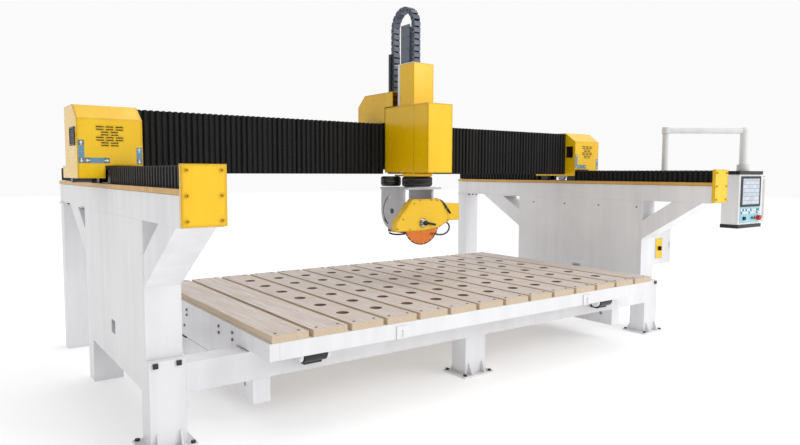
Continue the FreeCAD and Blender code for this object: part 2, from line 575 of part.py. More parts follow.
carriage_base = joined("carriage_plate", [
    cut("base_plate", block("base_plate_body", ("cover_in + 22", "340"),
                            ("cover_front + 8", "base_rear - cover_front - 16"), ("plate_low", "plate_thick")),
        [block("base_relief", ("way_x - 18", "36"), (f"{WAY_PINION_Y} - 62", "124"), ("plate_low - 5", "40"))])] + [
    cut(f"guide{i}{j}", block(f"guide_body{i}{j}", (f"way_x + {sx} * way_rail_half - 22", "44"), (f"{y}", "96"),
                              ("tray_low + tray_sheet + 8", "plate_low - tray_low - tray_sheet - 8")),
        [block(f"guide_slot{i}{j}", (f"way_x + {sx} * way_rail_half - way_rail_wide / 2 - 0.3", "way_rail_wide + 0.6"),
               (f"{y - 1}", "98"), ("tray_low", "tray_sheet + way_rail_high + 0.6"))])
    for i, sx in enumerate((-1, 1)) for j, y in enumerate((775, 1130))])
WAY_AXIS_Z = WAY_PITCH_Z + WAY_RADIUS
pinion = joined("way_pinion", [
    prism("way_gear", "YZ_Plane", [gear_profile(D["way_teeth"], -90)], "gear_wide",
          ("way_x - gear_wide / 2", f"{WAY_PINION_Y}", f"{WAY_AXIS_Z}")),
    rod("way_gear_shaft", "11", "138", ("way_x", f"{WAY_PINION_Y}", f"{WAY_AXIS_Z}"), "x")])
motor = cut("way_motor", joined("way_motor_body", [
    rod("way_motor_can", "40", "108", ("cover_out - 116", f"{WAY_PINION_Y}", f"{WAY_AXIS_Z - 4}"), "x"),
    block("way_motor_flange", ("cover_out - 132", "16"), (f"{WAY_PINION_Y} - 43", "86"),
          (f"{WAY_AXIS_Z - 47}", "66"))]),
    [rod("way_motor_bore", "11.06", "80", ("cover_out - 140", f"{WAY_PINION_Y}", f"{WAY_AXIS_Z}"), "x")])
node("way_pinions", both_sides("way_pinions", pinion))
node("carriage_bases", both_sides("carriage_bases", group("carriage_base_set", [carriage_base, motor])))

cross_rails = [block(f"cross_rail{k}", ("-cover_in + 20", "2 * cover_in - 40"), ("bridge_front - 20.3", "20"),
                     (z, "22")) for k, z in enumerate(("bridge_low + 30", "bridge_high - 52"))]
node("cross_rails", group("cross_rails", cross_rails))

CROSS_RADIUS = MODULE * D["cross_teeth"] / 2
CROSS_RACK_X = -D["cover_in"] + 30
cross_phase = (D["head_x"] - CROSS_RACK_X) % PITCH
CROSS_PITCH_Y = D["bridge_front"] + 118
rack = rack_profile(2 * D["cover_in"] - 60, 22, cross_phase)
node("cross_rack", prism("cross_rack", "XY_Plane", [rack], "gear_wide",
                         (f"{CROSS_RACK_X}", f"{CROSS_PITCH_Y}", "bridge_high + 0.3")))


def bridge_bellows(name, start, end):
    """Folding cover over the bridge: an inverted U between a carriage and the head."""
    return cut(
        name,
        block(name + "_skin", (start, f"{end} - ({start})"), ("bellows_front", "bellows_rear - bellows_front"),
              ("bellows_low", "bellows_high - bellows_low")),
        [block(name + "_space", (f"{start} - 1", f"{end} - ({start}) + 2"),
               ("bellows_front + bellows_wall", "bellows_rear - bellows_front - 2 * bellows_wall"),
               ("bellows_low - 1", "bellows_high - bellows_low - bellows_wall + 1"))])


node("left_bridge_bellows", bridge_bellows("left_bridge_bellows", "-cover_in + 1", "head_x - head_half - 2"))
node("right_bridge_bellows", bridge_bellows("right_bridge_bellows", "head_x + head_half + 2", "cover_in - 1"))

# ------------------------------------------------------------- head carriage
saddle = cut("saddle_block", joined("saddle_body", [
    block("saddle_plate", ("head_x - 104", "208"), ("745", "bridge_front - 24 - 745"), ("bridge_low - 10", "350")),
    block("saddle_arm", ("head_x - 104", "208"), ("850", "370"), ("bridge_high + 38", "16"))] + [
    block(f"saddle_guide{k}", ("head_x - 100", "200"), ("bridge_front - 24", "23.4"), (z, "50"))
    for k, z in enumerate(("bridge_low + 16", "bridge_high - 66"))] + [
    block(f"ram_guide{i}{j}", (f"head_x + {x} - 22", "44"), ("703", "43"), (f"bridge_low + {z}", "90"))
    for i, x in enumerate((-70, 70)) for j, z in enumerate((10, 230))]),
    [block(f"ram_guide_slot{k}", (f"head_x + {x} - 10.3", "20.6"), ("700", "20.6"), ("bridge_low - 20", "380"))
     for k, x in enumerate((-70, 70))] + [
    block(f"saddle_slot{k}", ("head_x - 110", "220"), ("bridge_front - 20.6", "21"), (z, "22.6"))
     for k, z in enumerate(("bridge_low + 29.7", "bridge_high - 52.3"))] + [
        block("screw_channel", ("head_x - 40", "80"), ("744", "86"), ("bridge_low - 20", "360")),
        rod("cross_bore", "9.06", "40", ("head_x", f"{CROSS_PITCH_Y + CROSS_RADIUS}", "bridge_high + 30"))])

cross_gear = joined("cross_pinion", [
    prism("cross_gear", "XY_Plane", [gear_profile(D["cross_teeth"], -90)], "gear_wide",
          ("head_x", f"{CROSS_PITCH_Y + CROSS_RADIUS}", "bridge_high + 0.3")),
    rod("cross_gear_shaft", "9", "60", ("head_x", f"{CROSS_PITCH_Y + CROSS_RADIUS}", "bridge_high + 1"))])
node("cross_pinion", cross_gear)
cross_motor = cut("cross_motor", joined("cross_motor_body", [
    block("cross_motor_flange", ("head_x - 50", "100"), (f"{CROSS_PITCH_Y + CROSS_RADIUS} - 50", "100"),
          ("bridge_high + 54.3", "14")),
    block("cross_motor_can", ("head_x - 42", "84"), (f"{CROSS_PITCH_Y + CROSS_RADIUS} - 42", "84"),
          ("bridge_high + 68.3", "130"))]),
    [rod("cross_motor_bore", "9.06", "30", ("head_x", f"{CROSS_PITCH_Y + CROSS_RADIUS}", "bridge_high + 40"))])
node("head_saddle", group("head_saddle", [saddle, cross_motor]))

HEAD_LEFT = "head_x - head_half"
HEAD_RIGHT = "head_x + head_half"
front_hood = shell_box("head_front_hood", (HEAD_LEFT, HEAD_RIGHT), ("head_front", "462"),
                       ("head_low", "head_high"), "sheet")
rear_hood = shell_box("head_rear_hood", (HEAD_LEFT + " + 6", HEAD_RIGHT + " - 6"), ("458", "bellows_front - 4"),
                      ("head_low", "head_high + 2"), "sheet")
head_hoods = cut("head_hood_set", joined("head_hoods", [front_hood, rear_hood]), [
    block("hood_join_gap", ("head_x - 106", "212"), ("450", "20"), ("head_low - 5", "head_high - head_low - 20")),
    block("ram_mouth", ("head_x - ram_half - 4", "2 * ram_half + 8"), ("ram_front - 4", "bellows_front - ram_front"),
          ("head_high - 10", "20")),
    block("hood_back_gap", ("head_x - 108", "216"), ("bellows_front - 12", "20"), ("head_low - 5", "500")),
    rod("hood_screw_hole", "19", "20", ("head_x", "788", "head_high - 10"))])

top_rear = [(745, 1996), (745, 2114), (1149, 2114), (1253, 2025), (1253, D["bellows_high"] + 3),
            (D["bellows_front"] - 3, D["bellows_high"] + 3), (D["bellows_front"] - 3, 1996)]
top_rear_in = [(742, 1999), (742, 2111), (1148, 2111), (1250, 2024), (1250, D["bellows_high"] - 5),
               (D["bellows_front"], D["bellows_high"] - 5), (D["bellows_front"], 1999)]
rear_cover = cut("head_rear_cover", prism("rear_cover_out", "YZ_Plane", [top_rear], "2 * head_half - 4",
                                          (HEAD_LEFT + " + 2", "0", "0")), [
    prism("rear_cover_in", "YZ_Plane", [top_rear_in], "2 * head_half - 10", (HEAD_LEFT + " + 5", "0", "0")),
    rod("cover_screw_hole", "19", "20", ("head_x", "788", "head_high"))])
node("head_covers", group("head_covers", [head_hoods, rear_cover]))

screw_top = 2090
node("lift_screw", joined("lift_screw", [
    rod("screw_shaft", "16", f"{screw_top - 1510}", ("head_x", "788", "1510")),
    rod("screw_pulley", "34", "26", ("head_x", "788", f"{screw_top - 50}"))]))

# ------------------------------------------------------------- vertical ram
ram = cut("ram_tube", block("ram_body", ("head_x - ram_half", "2 * ram_half"), ("ram_front", "ram_deep"),
                            ("ram_low", "ram_high - ram_low")),
          [block("ram_hollow", ("head_x - ram_half + 8", "2 * ram_half - 16"), ("ram_front + 8", "ram_deep - 16"),
                 ("ram_low + 10", "ram_high - ram_low - 20"))])
neck = rod("ram_neck", "119", "24", ("head_x", "axis_y", "ram_low - 24"))
neck_link = block("neck_link", ("head_x - 60", "120"), ("axis_y + 60", "160"), ("ram_low - 24", "12"))
node("ram_column", joined("ram_column", [ram, neck, neck_link]))
ram_rear = D["ram_front"] + D["ram_deep"]
nut = cut("ram_nut", joined("ram_nut_body", [
    block("nut_arm", ("head_x - 26", "52"), (f"{ram_rear + 29}", f"{788 - ram_rear - 29}"), ("1700", "60")),
    rod("nut_ring", "34", "60", ("head_x", "788", "1700"))]),
    [rod("nut_bore", "16.06", "70", ("head_x", "788", "1695"))])
back_plate = joined("ram_back_plate", [
    block("back_sheet", ("head_x - ram_half", "2 * ram_half"), (f"{ram_rear + 0.3}", "29"),
          ("ram_low + 10", "ram_high - ram_low - 10")),
    nut] + [block(f"ram_rail{k}", (f"head_x + {x} - 10", "20"), (f"{ram_rear + 29}", "20"),
                  ("ram_low + 20", "ram_high - ram_low - 60")) for k, x in enumerate((-70, 70))])
top_bracket = block("top_bracket", ("head_x - ram_half", "2 * ram_half"),
                    ("ram_front + 20", f"{ram_rear + 68 - D['ram_front'] - 20}"), ("ram_high + 0.3", "5.7"))
node("ram_back_plate", group("ram_back_plate", [back_plate, top_bracket]))

DRUM_LOW = D["ram_low"] - 24 - 80
node("turn_drive", group("turn_drive", [
    rod("turn_drum", "120", "79.7", ("head_x", "axis_y", f"{DRUM_LOW}")),
    rod("turn_motor", "82", "79.7", ("head_x - 96", "axis_y + 224", f"{DRUM_LOW}"))]))

CHAIN_FRONT = 596
CHAIN_REAR = 868
chain_bend = (CHAIN_REAR - CHAIN_FRONT) / 2
chain_top = 2759 - chain_bend
mid = (CHAIN_FRONT + CHAIN_REAR) / 2
band = 21
outline = ([(CHAIN_REAR + band, 2114.6)] + arc(mid, chain_top, chain_bend + band, 0, 180, 16)
           + [(CHAIN_FRONT - band, D["ram_high"] + 6.3), (CHAIN_FRONT + band, D["ram_high"] + 6.3)]
           + arc(mid, chain_top, chain_bend - band, 180, 0, 16) + [(CHAIN_REAR - band, 2114.6)])
node("energy_chain", prism("energy_chain", "YZ_Plane", [outline], "60", ("head_x - 30", "0", "0")))

# ------------------------------------------------------------- turning and tilting head
YOKE_TOP = DRUM_LOW - 7
PY, PZ = D["tilt_y"], D["tilt_z"]
slot = arc(PY, PZ, 128, -62, 76, 18) + arc(PY, PZ, 112, 76, -62, 18)
quadrant = [(PY - 152, YOKE_TOP - 14), *arc(PY, PZ, 152, 180, 360, 24), (PY + 152, YOKE_TOP - 14)]


def cheek(name, x, opening):
    loops = [quadrant, (PY, PZ, 20.06)] + opening
    return prism(name, "YZ_Plane", loops, "20", (x, "0", "0"))


drive_x = D["head_x"] + 152
yoke = joined("tilt_yoke", [
    cheek("quadrant_left", "head_x - 148", [slot]),
    cheek("quadrant_right", "head_x + 132", []),
    block("yoke_top", ("head_x - 153", "335"), ("490", "372"), (f"{YOKE_TOP - 15}", "15")),
    rod("yoke_ring", "100", "6.7", ("head_x", "axis_y", f"{YOKE_TOP}"))])
node("tilt_yoke", yoke)
node("tilt_drive", prism("tilt_drive", "XY_Plane", [[
    (drive_x + 0.3, PY - 100), (drive_x + 320, PY - 100), (drive_x + 338, PY - 82), (drive_x + 338, PY + 82),
    (drive_x + 320, PY + 100), (drive_x + 0.3, PY + 100)]], "138", ("0", "0", "tilt_z - 88")))

GX = D["head_x"]
guard_side = [(GX - 266, 1017), (GX - 266, 1084), (GX - 103, 1265), (GX + 158, 1265), (GX + 255, 1178),
              (GX + 265, 1084), (GX + 168, 1037), (GX + 15, 1017)]
guard_in = [(GX - 262, 1010), (GX - 262, 1082.6), (GX - 101.3, 1261), (GX + 156.4, 1261), (GX + 251.2, 1176.2),
            (GX + 260.8, 1087), (GX + 168, 1041.4), (GX + 15, 1021.4), (GX + 15, 1010)]
guard = cut("guard_shell", prism("guard_out", "XZ_Plane", [guard_side], "54", ("0", "545", "0")), [
    prism("guard_space", "XZ_Plane", [guard_in], "48", ("0", "542", "0")),
    block("guard_slot", ("head_x - 180", "400"), ("494", "48"), ("1005", "60")),
    rod("guard_hole", "34", "70", ("head_x", "480", "blade_z"), "y")])
node("blade_guard", guard)

motor_solid = joined("spindle_solid", [
    block("spindle_housing", ("head_x - 92", "184"), ("548", "290"), ("blade_z - 88", "184")),
    block("spindle_front", ("head_x - 60", "120"), ("545.3", "4"), ("blade_z - 60", "120")),
    block("tilt_block", ("head_x - 120", "240"), ("tilt_y - 60", "120"), ("tilt_z - 62", "124")),
    rod("tilt_trunnion", "20", "303", ("head_x - 152", "tilt_y", "tilt_z"), "x"),
    rod("clamp_stud", "7", "32", ("head_x - 156", f"{PY + 120 * math.cos(math.radians(-40))}",
                                  f"{PZ + 120 * math.sin(math.radians(-40))}"), "x"),
    block("clamp_arm", ("head_x - 125", "40"), (f"{PY + 60}", "60"), (f"{PZ - 98}", "44"))])
node("spindle_motor", cut("spindle_motor", motor_solid, [
    rod("spindle_bore", "19.06", "160", ("head_x", "540", "blade_z"), "y")]))
node("coolant_pipes", joined("coolant_pipes", [
    block("coolant_manifold", ("head_x + 266", "22"), ("508", "28"), ("1120", "34")),
    rod("coolant_pipe_down", "8", "122", ("head_x + 277", "522", "1000")),
    rod("coolant_pipe_front", "8", "40", ("head_x + 277", "482", "1000"), "y"),
    rod("coolant_nozzle", "8", "130", ("head_x + 147", "482", "1000"), "x"),
    ball("coolant_elbow_low", "11", ("head_x + 277", "522", "1000")),
    ball("coolant_elbow_front", "11", ("head_x + 277", "482", "1000"))]))

blade = doc.addObject("PartDesign::Body", "saw_blade_body")
core_sketch = sketch_in(blade, "core_sketch", "XZ_Plane", [(0, 0, D["core_radius"]), (0, 0, 25)])
core = blade.newObject("PartDesign::Pad", "core_pad")
core.Profile = core_sketch
core.Length = 2.4
core.Midplane = True
SEGMENTS = 24
half = 360 / SEGMENTS / 2 - 0.7
tooth_loop = arc(0, 0, D["blade_radius"], -half, half, 6) + arc(0, 0, D["core_radius"] - 3, half, -half, 6)
tooth_sketch = sketch_in(blade, "segment_sketch", "XZ_Plane", [tooth_loop])
tooth = blade.newObject("PartDesign::Pad", "segment_pad")
tooth.Profile = tooth_sketch
tooth.Length = 3.4
tooth.Midplane = True
ring = blade.newObject("PartDesign::PolarPattern", "segment_ring")
ring.Originals = [tooth]
ring.Axis = (origin_plane(blade, "Y_Axis"), [""])
ring.Angle = 360
ring.Occurrences = SEGMENTS
blade.Tip = ring
gullet_sketch = sketch_in(blade, "gullet_sketch", "XZ_Plane", [[
    (150 * math.cos(math.radians(half + 0.7)), 150 * math.sin(math.radians(half + 0.7)) - 1.2),
    (180 * math.cos(math.radians(half + 0.7)), 180 * math.sin(math.radians(half + 0.7)) - 1.2),
    (180 * math.cos(math.radians(half + 0.7)), 180 * math.sin(math.radians(half + 0.7)) + 1.2),
    (150 * math.cos(math.radians(half + 0.7)), 150 * math.sin(math.radians(half + 0.7)) + 1.2)]])
gullet = blade.newObject("PartDesign::Pocket", "gullet_pocket")
gullet.Profile = gullet_sketch
gullet.Type = "ThroughAll"
gullet.Midplane = True
gullets = blade.newObject("PartDesign::PolarPattern", "gullet_ring")
gullets.Originals = [gullet]
gullets.Axis = (origin_plane(blade, "Y_Axis"), [""])
gullets.Angle = 360
gullets.Occurrences = SEGMENTS
blade.Tip = gullets
bind(blade, "Placement.Base.x", "head_x")
bind(blade, "Placement.Base.y", "blade_y")
bind(blade, "Placement.Base.z", "blade_z")
node("saw_blade", blade)
node("blade_arbor", joined("blade_arbor", [
    rod("arbor_shaft", "19", "180", ("head_x", "486", "blade_z"), "y"),
    rod("arbor_nut", "17", "22", ("head_x", "466", "blade_z"), "y"),
    cut("flanges", rod("flange_blank", "31", "34", ("head_x", "blade_y - 17", "blade_z"), "y"),
        [cut("flange_gap", rod("flange_gap_out", "60", "3.4", ("head_x", "blade_y - 1.7", "blade_z"), "y"),
             [rod("flange_gap_in", "24.7", "6", ("head_x", "blade_y - 3", "blade_z"), "y")])]),
    rod("arbor_cap", "28", "14", ("head_x", "480", "blade_z"), "y")]))

# ------------------------------------------------------------- operator's side
ARM_TURN = -36.05
ARM = FreeCAD.Rotation(FreeCAD.Vector(0, 0, 1), ARM_TURN)
arm_end_x = D["post_x"] + D["arm_long"] * math.cos(math.radians(ARM_TURN))
arm_end_y = D["post_y"] + D["arm_long"] * math.sin(math.radians(ARM_TURN))
bracket = joined("post_bracket", [
    block("post_flange", ("inner_half + frame_wide + 0.3", "12"), ("post_y - 70", "140"), ("beam_low + 8", "130")),
    block("post_arm_bar", ("inner_half + frame_wide + 12", "post_x - inner_half - frame_wide - 12"),
          ("post_y - 30", "60"), ("beam_low + 40", "60")),
    rod("post_tube", "tube_radius", "arm_z - beam_low - 49.5", ("post_x", "post_y", "beam_low + 20"))])
node("pendant_post", bracket)

arm_tube = doc.addObject("Part::Cylinder", "arm_tube")
arm_tube.Placement = FreeCAD.Placement(FreeCAD.Vector(D["post_x"], D["post_y"], D["arm_z"]),
                                       ARM.multiply(TURN["x"]))
bind(arm_tube, "Radius", "tube_radius")
bind(arm_tube, "Height", "arm_long - 4")
elbow = ball("arm_elbow", "tube_radius + 10", (f"{arm_end_x}", f"{arm_end_y}", "arm_z"))
node("pendant_arm", joined("pendant_arm", [
    arm_tube, elbow,
    rod("arm_hub", "tube_radius + 7", "60", ("post_x", "post_y", "arm_z - 28")),
    rod("arm_drop", "tube_radius + 8", "arm_z - box_high - 62", (f"{arm_end_x}", f"{arm_end_y}", "box_high + 62"))]))

BOX_X = f"({arm_end_x} - box_wide / 2)"
BOX_Y = f"({arm_end_y} - box_deep / 2)"
case = joined("pendant_case", [
    block("case_body", (BOX_X, "box_wide"), (BOX_Y, "box_deep"), ("box_low + 34", "box_high - box_low - 68")),
    block("handle_stub0", (BOX_X + " + box_wide - 1", "82"), (BOX_Y + " + 10", "16"), ("box_low + 60", "20")),
    block("handle_stub1", (BOX_X + " + box_wide - 1", "82"), (BOX_Y + " + 10", "16"), ("box_high - 80", "20")),
    rod("handle_grip", "12", "box_high - box_low - 96",
        (BOX_X + " + box_wide + 81", BOX_Y + " + 18", "box_low + 48")),
    rod("case_swivel", "56", "61", (f"{arm_end_x}", f"{arm_end_y}", "box_high + 0.5"))])
node("pendant_case", case)
end_caps = [
    block(f"end_cap{k}", (BOX_X + " - 4", "box_wide + 8"), (BOX_Y + " - 4", "box_deep + 8"), (z, "33.4"))
    for k, z in enumerate(("box_low", "box_high - 33.7"))]
node("pendant_screen", block("pendant_screen", (BOX_X + " + 44", "352"), (BOX_Y + " - 6.3", "6"),
                             ("box_low + 212", "262")))
node("pendant_keypad", block("pendant_keypad", (BOX_X + " + 34", "372"), (BOX_Y + " - 4.3", "4"),
                             ("box_low + 50", "146")))
node("pendant_trim", group("pendant_trim", end_caps))
KEY_ROW = "box_low + 92"
for label, dx, radius, length in (("start_button", 250, 13, 12), ("stop_button", 300, 13, 12),
                                  ("emergency_stop", 362, 24, 26)):
    node(label, rod(label + "_head", f"{radius}", f"{length}",
                    (BOX_X + f" + {dx}", BOX_Y + f" - 10.6 - {length}", KEY_ROW), "y"))
node("feed_knob", joined("feed_knob", [
    rod("feed_knob_cap", "17", "18", (BOX_X + " + 96", BOX_Y + " - 4.9 - 18", KEY_ROW), "y"),
    block("feed_knob_mark", (BOX_X + " + 94", "4"), (BOX_Y + " - 24.9", "3"), (KEY_ROW, "15"))]))

CAB_X = "(inner_half + frame_wide + 0.3)"
node("control_cabinet", cut("control_cabinet",
                            block("cabinet_out", (CAB_X, f"2690 - {CAB_X}"), ("60", "460"), ("600", "350")),
                            [block("cabinet_in", (CAB_X + " + 3", f"2684 - {CAB_X}"), ("50", "467"), ("603", "344"))]))
node("cabinet_door", joined("cabinet_door", [
    block("door_sheet", (CAB_X + " + 4", "378"), ("38", "20"), ("604", "342")),
    block("door_latch", ("2650", "16"), ("30", "8"), ("745", "60")),
    rod("door_hinge_low", "5", "60", ("2300.5", "40", "640")),
    rod("door_hinge_high", "5", "60", ("2300.5", "40", "850")),
    block("isolator_plate", ("2419", "104"), ("30", "8"), ("660", "190"))]))
node("cabinet_isolator", joined("cabinet_isolator", [
    rod("isolator_knob", "22", "14", ("2471", "15.7", "755"), "y"),
    block("isolator_grip", ("2466", "10"), ("3.7", "12"), ("737", "36"))]))

# ------------------------------------------------------------- checks and export
doc.recompute()
for obj in doc.Objects:
    if "Invalid" in obj.State or "Error" in obj.State:
        raise RuntimeError(f"{obj.Name} did not compute: {obj.State}")
faulty = [label for label, obj in NODES.items() if obj.Shape.isNull() or not obj.Shape.isValid()]
if faulty:
    raise RuntimeError("no valid shape: " + ", ".join(faulty))

os.makedirs("parts", exist_ok=True)
for label, obj in NODES.items():
    obj.Shape.exportStep(f"parts/{label}.step")
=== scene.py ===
"""Bridge saw for stone slabs: materials, soft covers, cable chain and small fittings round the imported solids.

Everything is in metres: +X to the right of the operator, +Y to the back, +Z up, floor at Z = 0.
"""

import json
import math

import bpy
import numpy as np
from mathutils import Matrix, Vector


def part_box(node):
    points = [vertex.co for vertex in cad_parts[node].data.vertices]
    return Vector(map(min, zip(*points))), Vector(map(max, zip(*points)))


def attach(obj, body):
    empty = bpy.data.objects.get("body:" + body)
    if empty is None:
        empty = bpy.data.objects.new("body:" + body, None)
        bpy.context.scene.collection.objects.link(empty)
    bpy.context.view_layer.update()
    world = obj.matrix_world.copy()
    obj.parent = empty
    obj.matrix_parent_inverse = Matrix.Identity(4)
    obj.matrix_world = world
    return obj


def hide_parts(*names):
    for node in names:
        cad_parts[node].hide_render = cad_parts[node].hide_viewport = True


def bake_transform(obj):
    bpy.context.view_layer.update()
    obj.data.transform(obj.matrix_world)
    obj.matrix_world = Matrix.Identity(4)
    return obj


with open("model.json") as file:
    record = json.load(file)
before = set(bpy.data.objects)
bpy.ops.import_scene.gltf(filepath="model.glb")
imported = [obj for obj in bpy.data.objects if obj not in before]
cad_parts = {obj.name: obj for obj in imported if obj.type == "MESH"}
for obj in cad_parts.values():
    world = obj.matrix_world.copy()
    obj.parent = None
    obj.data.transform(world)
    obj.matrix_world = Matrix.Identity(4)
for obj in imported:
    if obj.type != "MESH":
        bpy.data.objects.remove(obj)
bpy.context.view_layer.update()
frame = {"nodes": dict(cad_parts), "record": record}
rng = np.random.default_rng(7)

# The table's slats and their clamping holes
TABLE_HALF, SLAT_PITCH = 1.75, 0.25
HOLE_PITCH, HOLE_SHIFT, HOLE_RADIUS = 0.287, 0.2135, 0.041
# The side rails, the blade and the head's centre plane
RAIL_X = 2.198
HEAD_X, BLADE_Z, BLADE_RADIUS = -0.052, 1.078, 0.175


# ------------------------------------------------------------------ material tools
def srgb(code):
    """Linear RGBA of an sRGB hex colour."""
    parts = [int(code[i:i + 2], 16) / 255 for i in (0, 2, 4)]
    return [p / 12.92 if p <= 0.04045 else ((p + 0.055) / 1.055) ** 2.4 for p in parts] + [1.0]


def add(tree, kind, inputs=None, **settings):
    """Adds a shader node. inputs maps a socket name or index to a value or to another node's output."""
    node = tree.nodes.new("ShaderNode" + kind)
    for key, value in settings.items():
        setattr(node, key, value)
    for key, value in (inputs or {}).items():
        if isinstance(value, bpy.types.NodeSocket):
            tree.links.new(value, node.inputs[key])
        else:
            node.inputs[key].default_value = value
    return node


def new_material(name, roughness, metallic=0.0, **shader):
    """A Principled material; returns it with its tree, shader node and object coordinates in metres."""
    mat = bpy.data.materials.new(name)
    mat.use_nodes = True
    tree = mat.node_tree
    bsdf = tree.nodes["Principled BSDF"]
    bsdf.inputs["Roughness"].default_value = roughness
    bsdf.inputs["Metallic"].default_value = metallic
    for key, value in shader.items():
        bsdf.inputs[key.replace("_", " ")].default_value = value
    coords = add(tree, "TexCoord").outputs["Object"]
    return mat, tree, bsdf, coords


def mix(tree, factor, first, second):
    """Colour mix; first and second are hex codes or outputs."""
    inputs = {0: factor, 6: srgb(first) if isinstance(first, str) else first,
              7: srgb(second) if isinstance(second, str) else second}
    return add(tree, "Mix", inputs, data_type="RGBA").outputs[2]


def noise(tree, coords, per_metre, detail=3.0, rough=0.5, stretch=None):
    """Noise with features per_metre; stretch scales the axes first, for grain and streaks."""
    if stretch:
        coords = add(tree, "Mapping", {"Vector": coords, "Scale": stretch}).outputs[0]
    settings = {"Vector": coords, "Scale": per_metre, "Detail": detail, "Roughness": rough}
    return add(tree, "TexNoise", settings).outputs["Fac"]


def remap(tree, value, low, high, to_low=0.0, to_high=1.0):
    """Linear remap, clamped."""
    inputs = {"Value": value, "From Min": low, "From Max": high, "To Min": to_low, "To Max": to_high}
    return add(tree, "MapRange", inputs).outputs[0]


def bump(tree, bsdf, height, depth, edge=0.0):
    """Surface relief of the given depth in metres; edge rounds the normals of sharp edges by that radius."""
    inputs = {"Height": height, "Distance": depth, "Strength": 1.0}
    if edge:
        inputs["Normal"] = add(tree, "Bevel", {"Radius": edge}, samples=6).outputs[0]
    tree.links.new(add(tree, "Bump", inputs).outputs[0], bsdf.inputs["Normal"])


def powder_coat(name, tone, shade, roughness=0.38, edge=0.003, gloss=0.5):
    """Polyester powder coat on sheet steel: 3 mm orange peel, slow tone drift, faint run-down streaks. gloss
    thickens the clear top layer; edge is the radius of the rounded sheet edges."""
    mat, tree, bsdf, coords = new_material(name, roughness, Coat_Weight=0.24 * gloss, Coat_Roughness=0.15)
    drift = noise(tree, coords, 1.4, 4.0, 0.6)
    streak = noise(tree, coords, 9.0, 3.0, 0.6, (1.0, 1.0, 0.07))
    wash = add(tree, "Math", {0: drift, 1: streak}, operation="MULTIPLY").outputs[0]
    colour = mix(tree, remap(tree, wash, 0.16, 0.40), tone, shade)
    tree.links.new(colour, bsdf.inputs["Base Color"])
    haze = remap(tree, noise(tree, coords, 14.0, 5.0, 0.7), 0.3, 0.7, roughness - 0.05, roughness + 0.10)
    tree.links.new(haze, bsdf.inputs["Roughness"])
    bump(tree, bsdf, noise(tree, coords, 330.0, 2.0), 0.00012, edge)
    return mat


def slat_wood():
    """Sawn and sanded softwood planks laid front to back: grain 3 mm wide, each plank with its own tone.
    The worn top faces are pale and the sides warmer. The walls of the clamping holes carry painted shade, dark
    brown inside. Dry and matte."""
    mat, tree, bsdf, coords = new_material("planed_softwood", 0.62)
    x = add(tree, "SeparateXYZ", {0: coords}).outputs[0]
    from_edge = add(tree, "Math", {0: x, 1: TABLE_HALF}).outputs[0]
    plank = add(tree, "Math", {0: from_edge, 1: SLAT_PITCH}, operation="DIVIDE").outputs[0]
    number = add(tree, "Math", {0: plank}, operation="FLOOR").outputs[0]
    tone = add(tree, "TexWhiteNoise", {"W": number}, noise_dimensions="1D")
    shift = add(tree, "VectorMath", {0: tone.outputs["Color"], 1: (7.0, 5.0, 3.0)},
                operation="MULTIPLY").outputs[0]
    moved = add(tree, "VectorMath", {0: coords, 1: shift}, operation="ADD").outputs[0]
    grain = noise(tree, moved, 1.0, 5.0, 0.62, (95.0, 3.2, 70.0))
    lengthwise = add(tree, "Mapping", {"Vector": moved, "Scale": (1.0, 0.10, 1.4)}).outputs[0]
    rings = add(tree, "TexWave", {"Vector": lengthwise, "Scale": 11.0, "Distortion": 9.0, "Detail": 3.0,
                                  "Detail Scale": 1.6}, wave_type="BANDS", bands_direction="X").outputs["Fac"]
    normal = add(tree, "TexCoord").outputs["Normal"]
    top = remap(tree, add(tree, "SeparateXYZ", {0: normal}).outputs[2], 0.6, 0.9)
    side = mix(tree, grain, "BFA689", "DCCCB4")
    cell_size = (SLAT_PITCH, HOLE_PITCH, 10.0)
    cell_middle = (SLAT_PITCH / 2, HOLE_PITCH / 2, 0.0)
    first_cell = (TABLE_HALF, HOLE_SHIFT, 0.0)
    offset = add(tree, "VectorMath", {0: coords, 1: first_cell}, operation="ADD").outputs[0]
    cell = add(tree, "VectorMath", {0: offset, 1: cell_size}, operation="MODULO").outputs[0]
    centred = add(tree, "VectorMath", {0: cell, 1: cell_middle}, operation="SUBTRACT").outputs[0]
    planar = add(tree, "VectorMath", {0: centred, 1: (1.0, 1.0, 0.0)}, operation="MULTIPLY").outputs[0]
    reach = add(tree, "VectorMath", {0: planar}, operation="LENGTH").outputs["Value"]
    # Painted shade: the side faces within each hole's radius are mixed towards dark brown, for the shade inside
    # the holes
    side = mix(tree, remap(tree, reach, HOLE_RADIUS + 0.001, HOLE_RADIUS + 0.005, 0.85, 0.0), side, "6E4F3A")
    face = mix(tree, remap(tree, grain, 0.36, 0.66), "C6B6AB", "E2DCD8")
    face = mix(tree, remap(tree, rings, 0.55, 1.0, 0.0, 0.30), face, "C9B4A5")
    plank_tone = remap(tree, tone.outputs["Value"], 0.0, 1.0, 0.0, 0.38)
    face = mix(tree, plank_tone, face, "CDBFB5")
    stain = remap(tree, noise(tree, moved, 5.0, 4.0, 0.65), 0.52, 0.80, 0.0, 0.30)
    face = mix(tree, stain, face, "B09F95")
    tree.links.new(mix(tree, top, side, face), bsdf.inputs["Base Color"])
    tree.links.new(remap(tree, grain, 0.3, 0.7, 0.72, 0.54), bsdf.inputs["Roughness"])
    bump(tree, bsdf, grain, 0.0006, 0.002)
    return mat


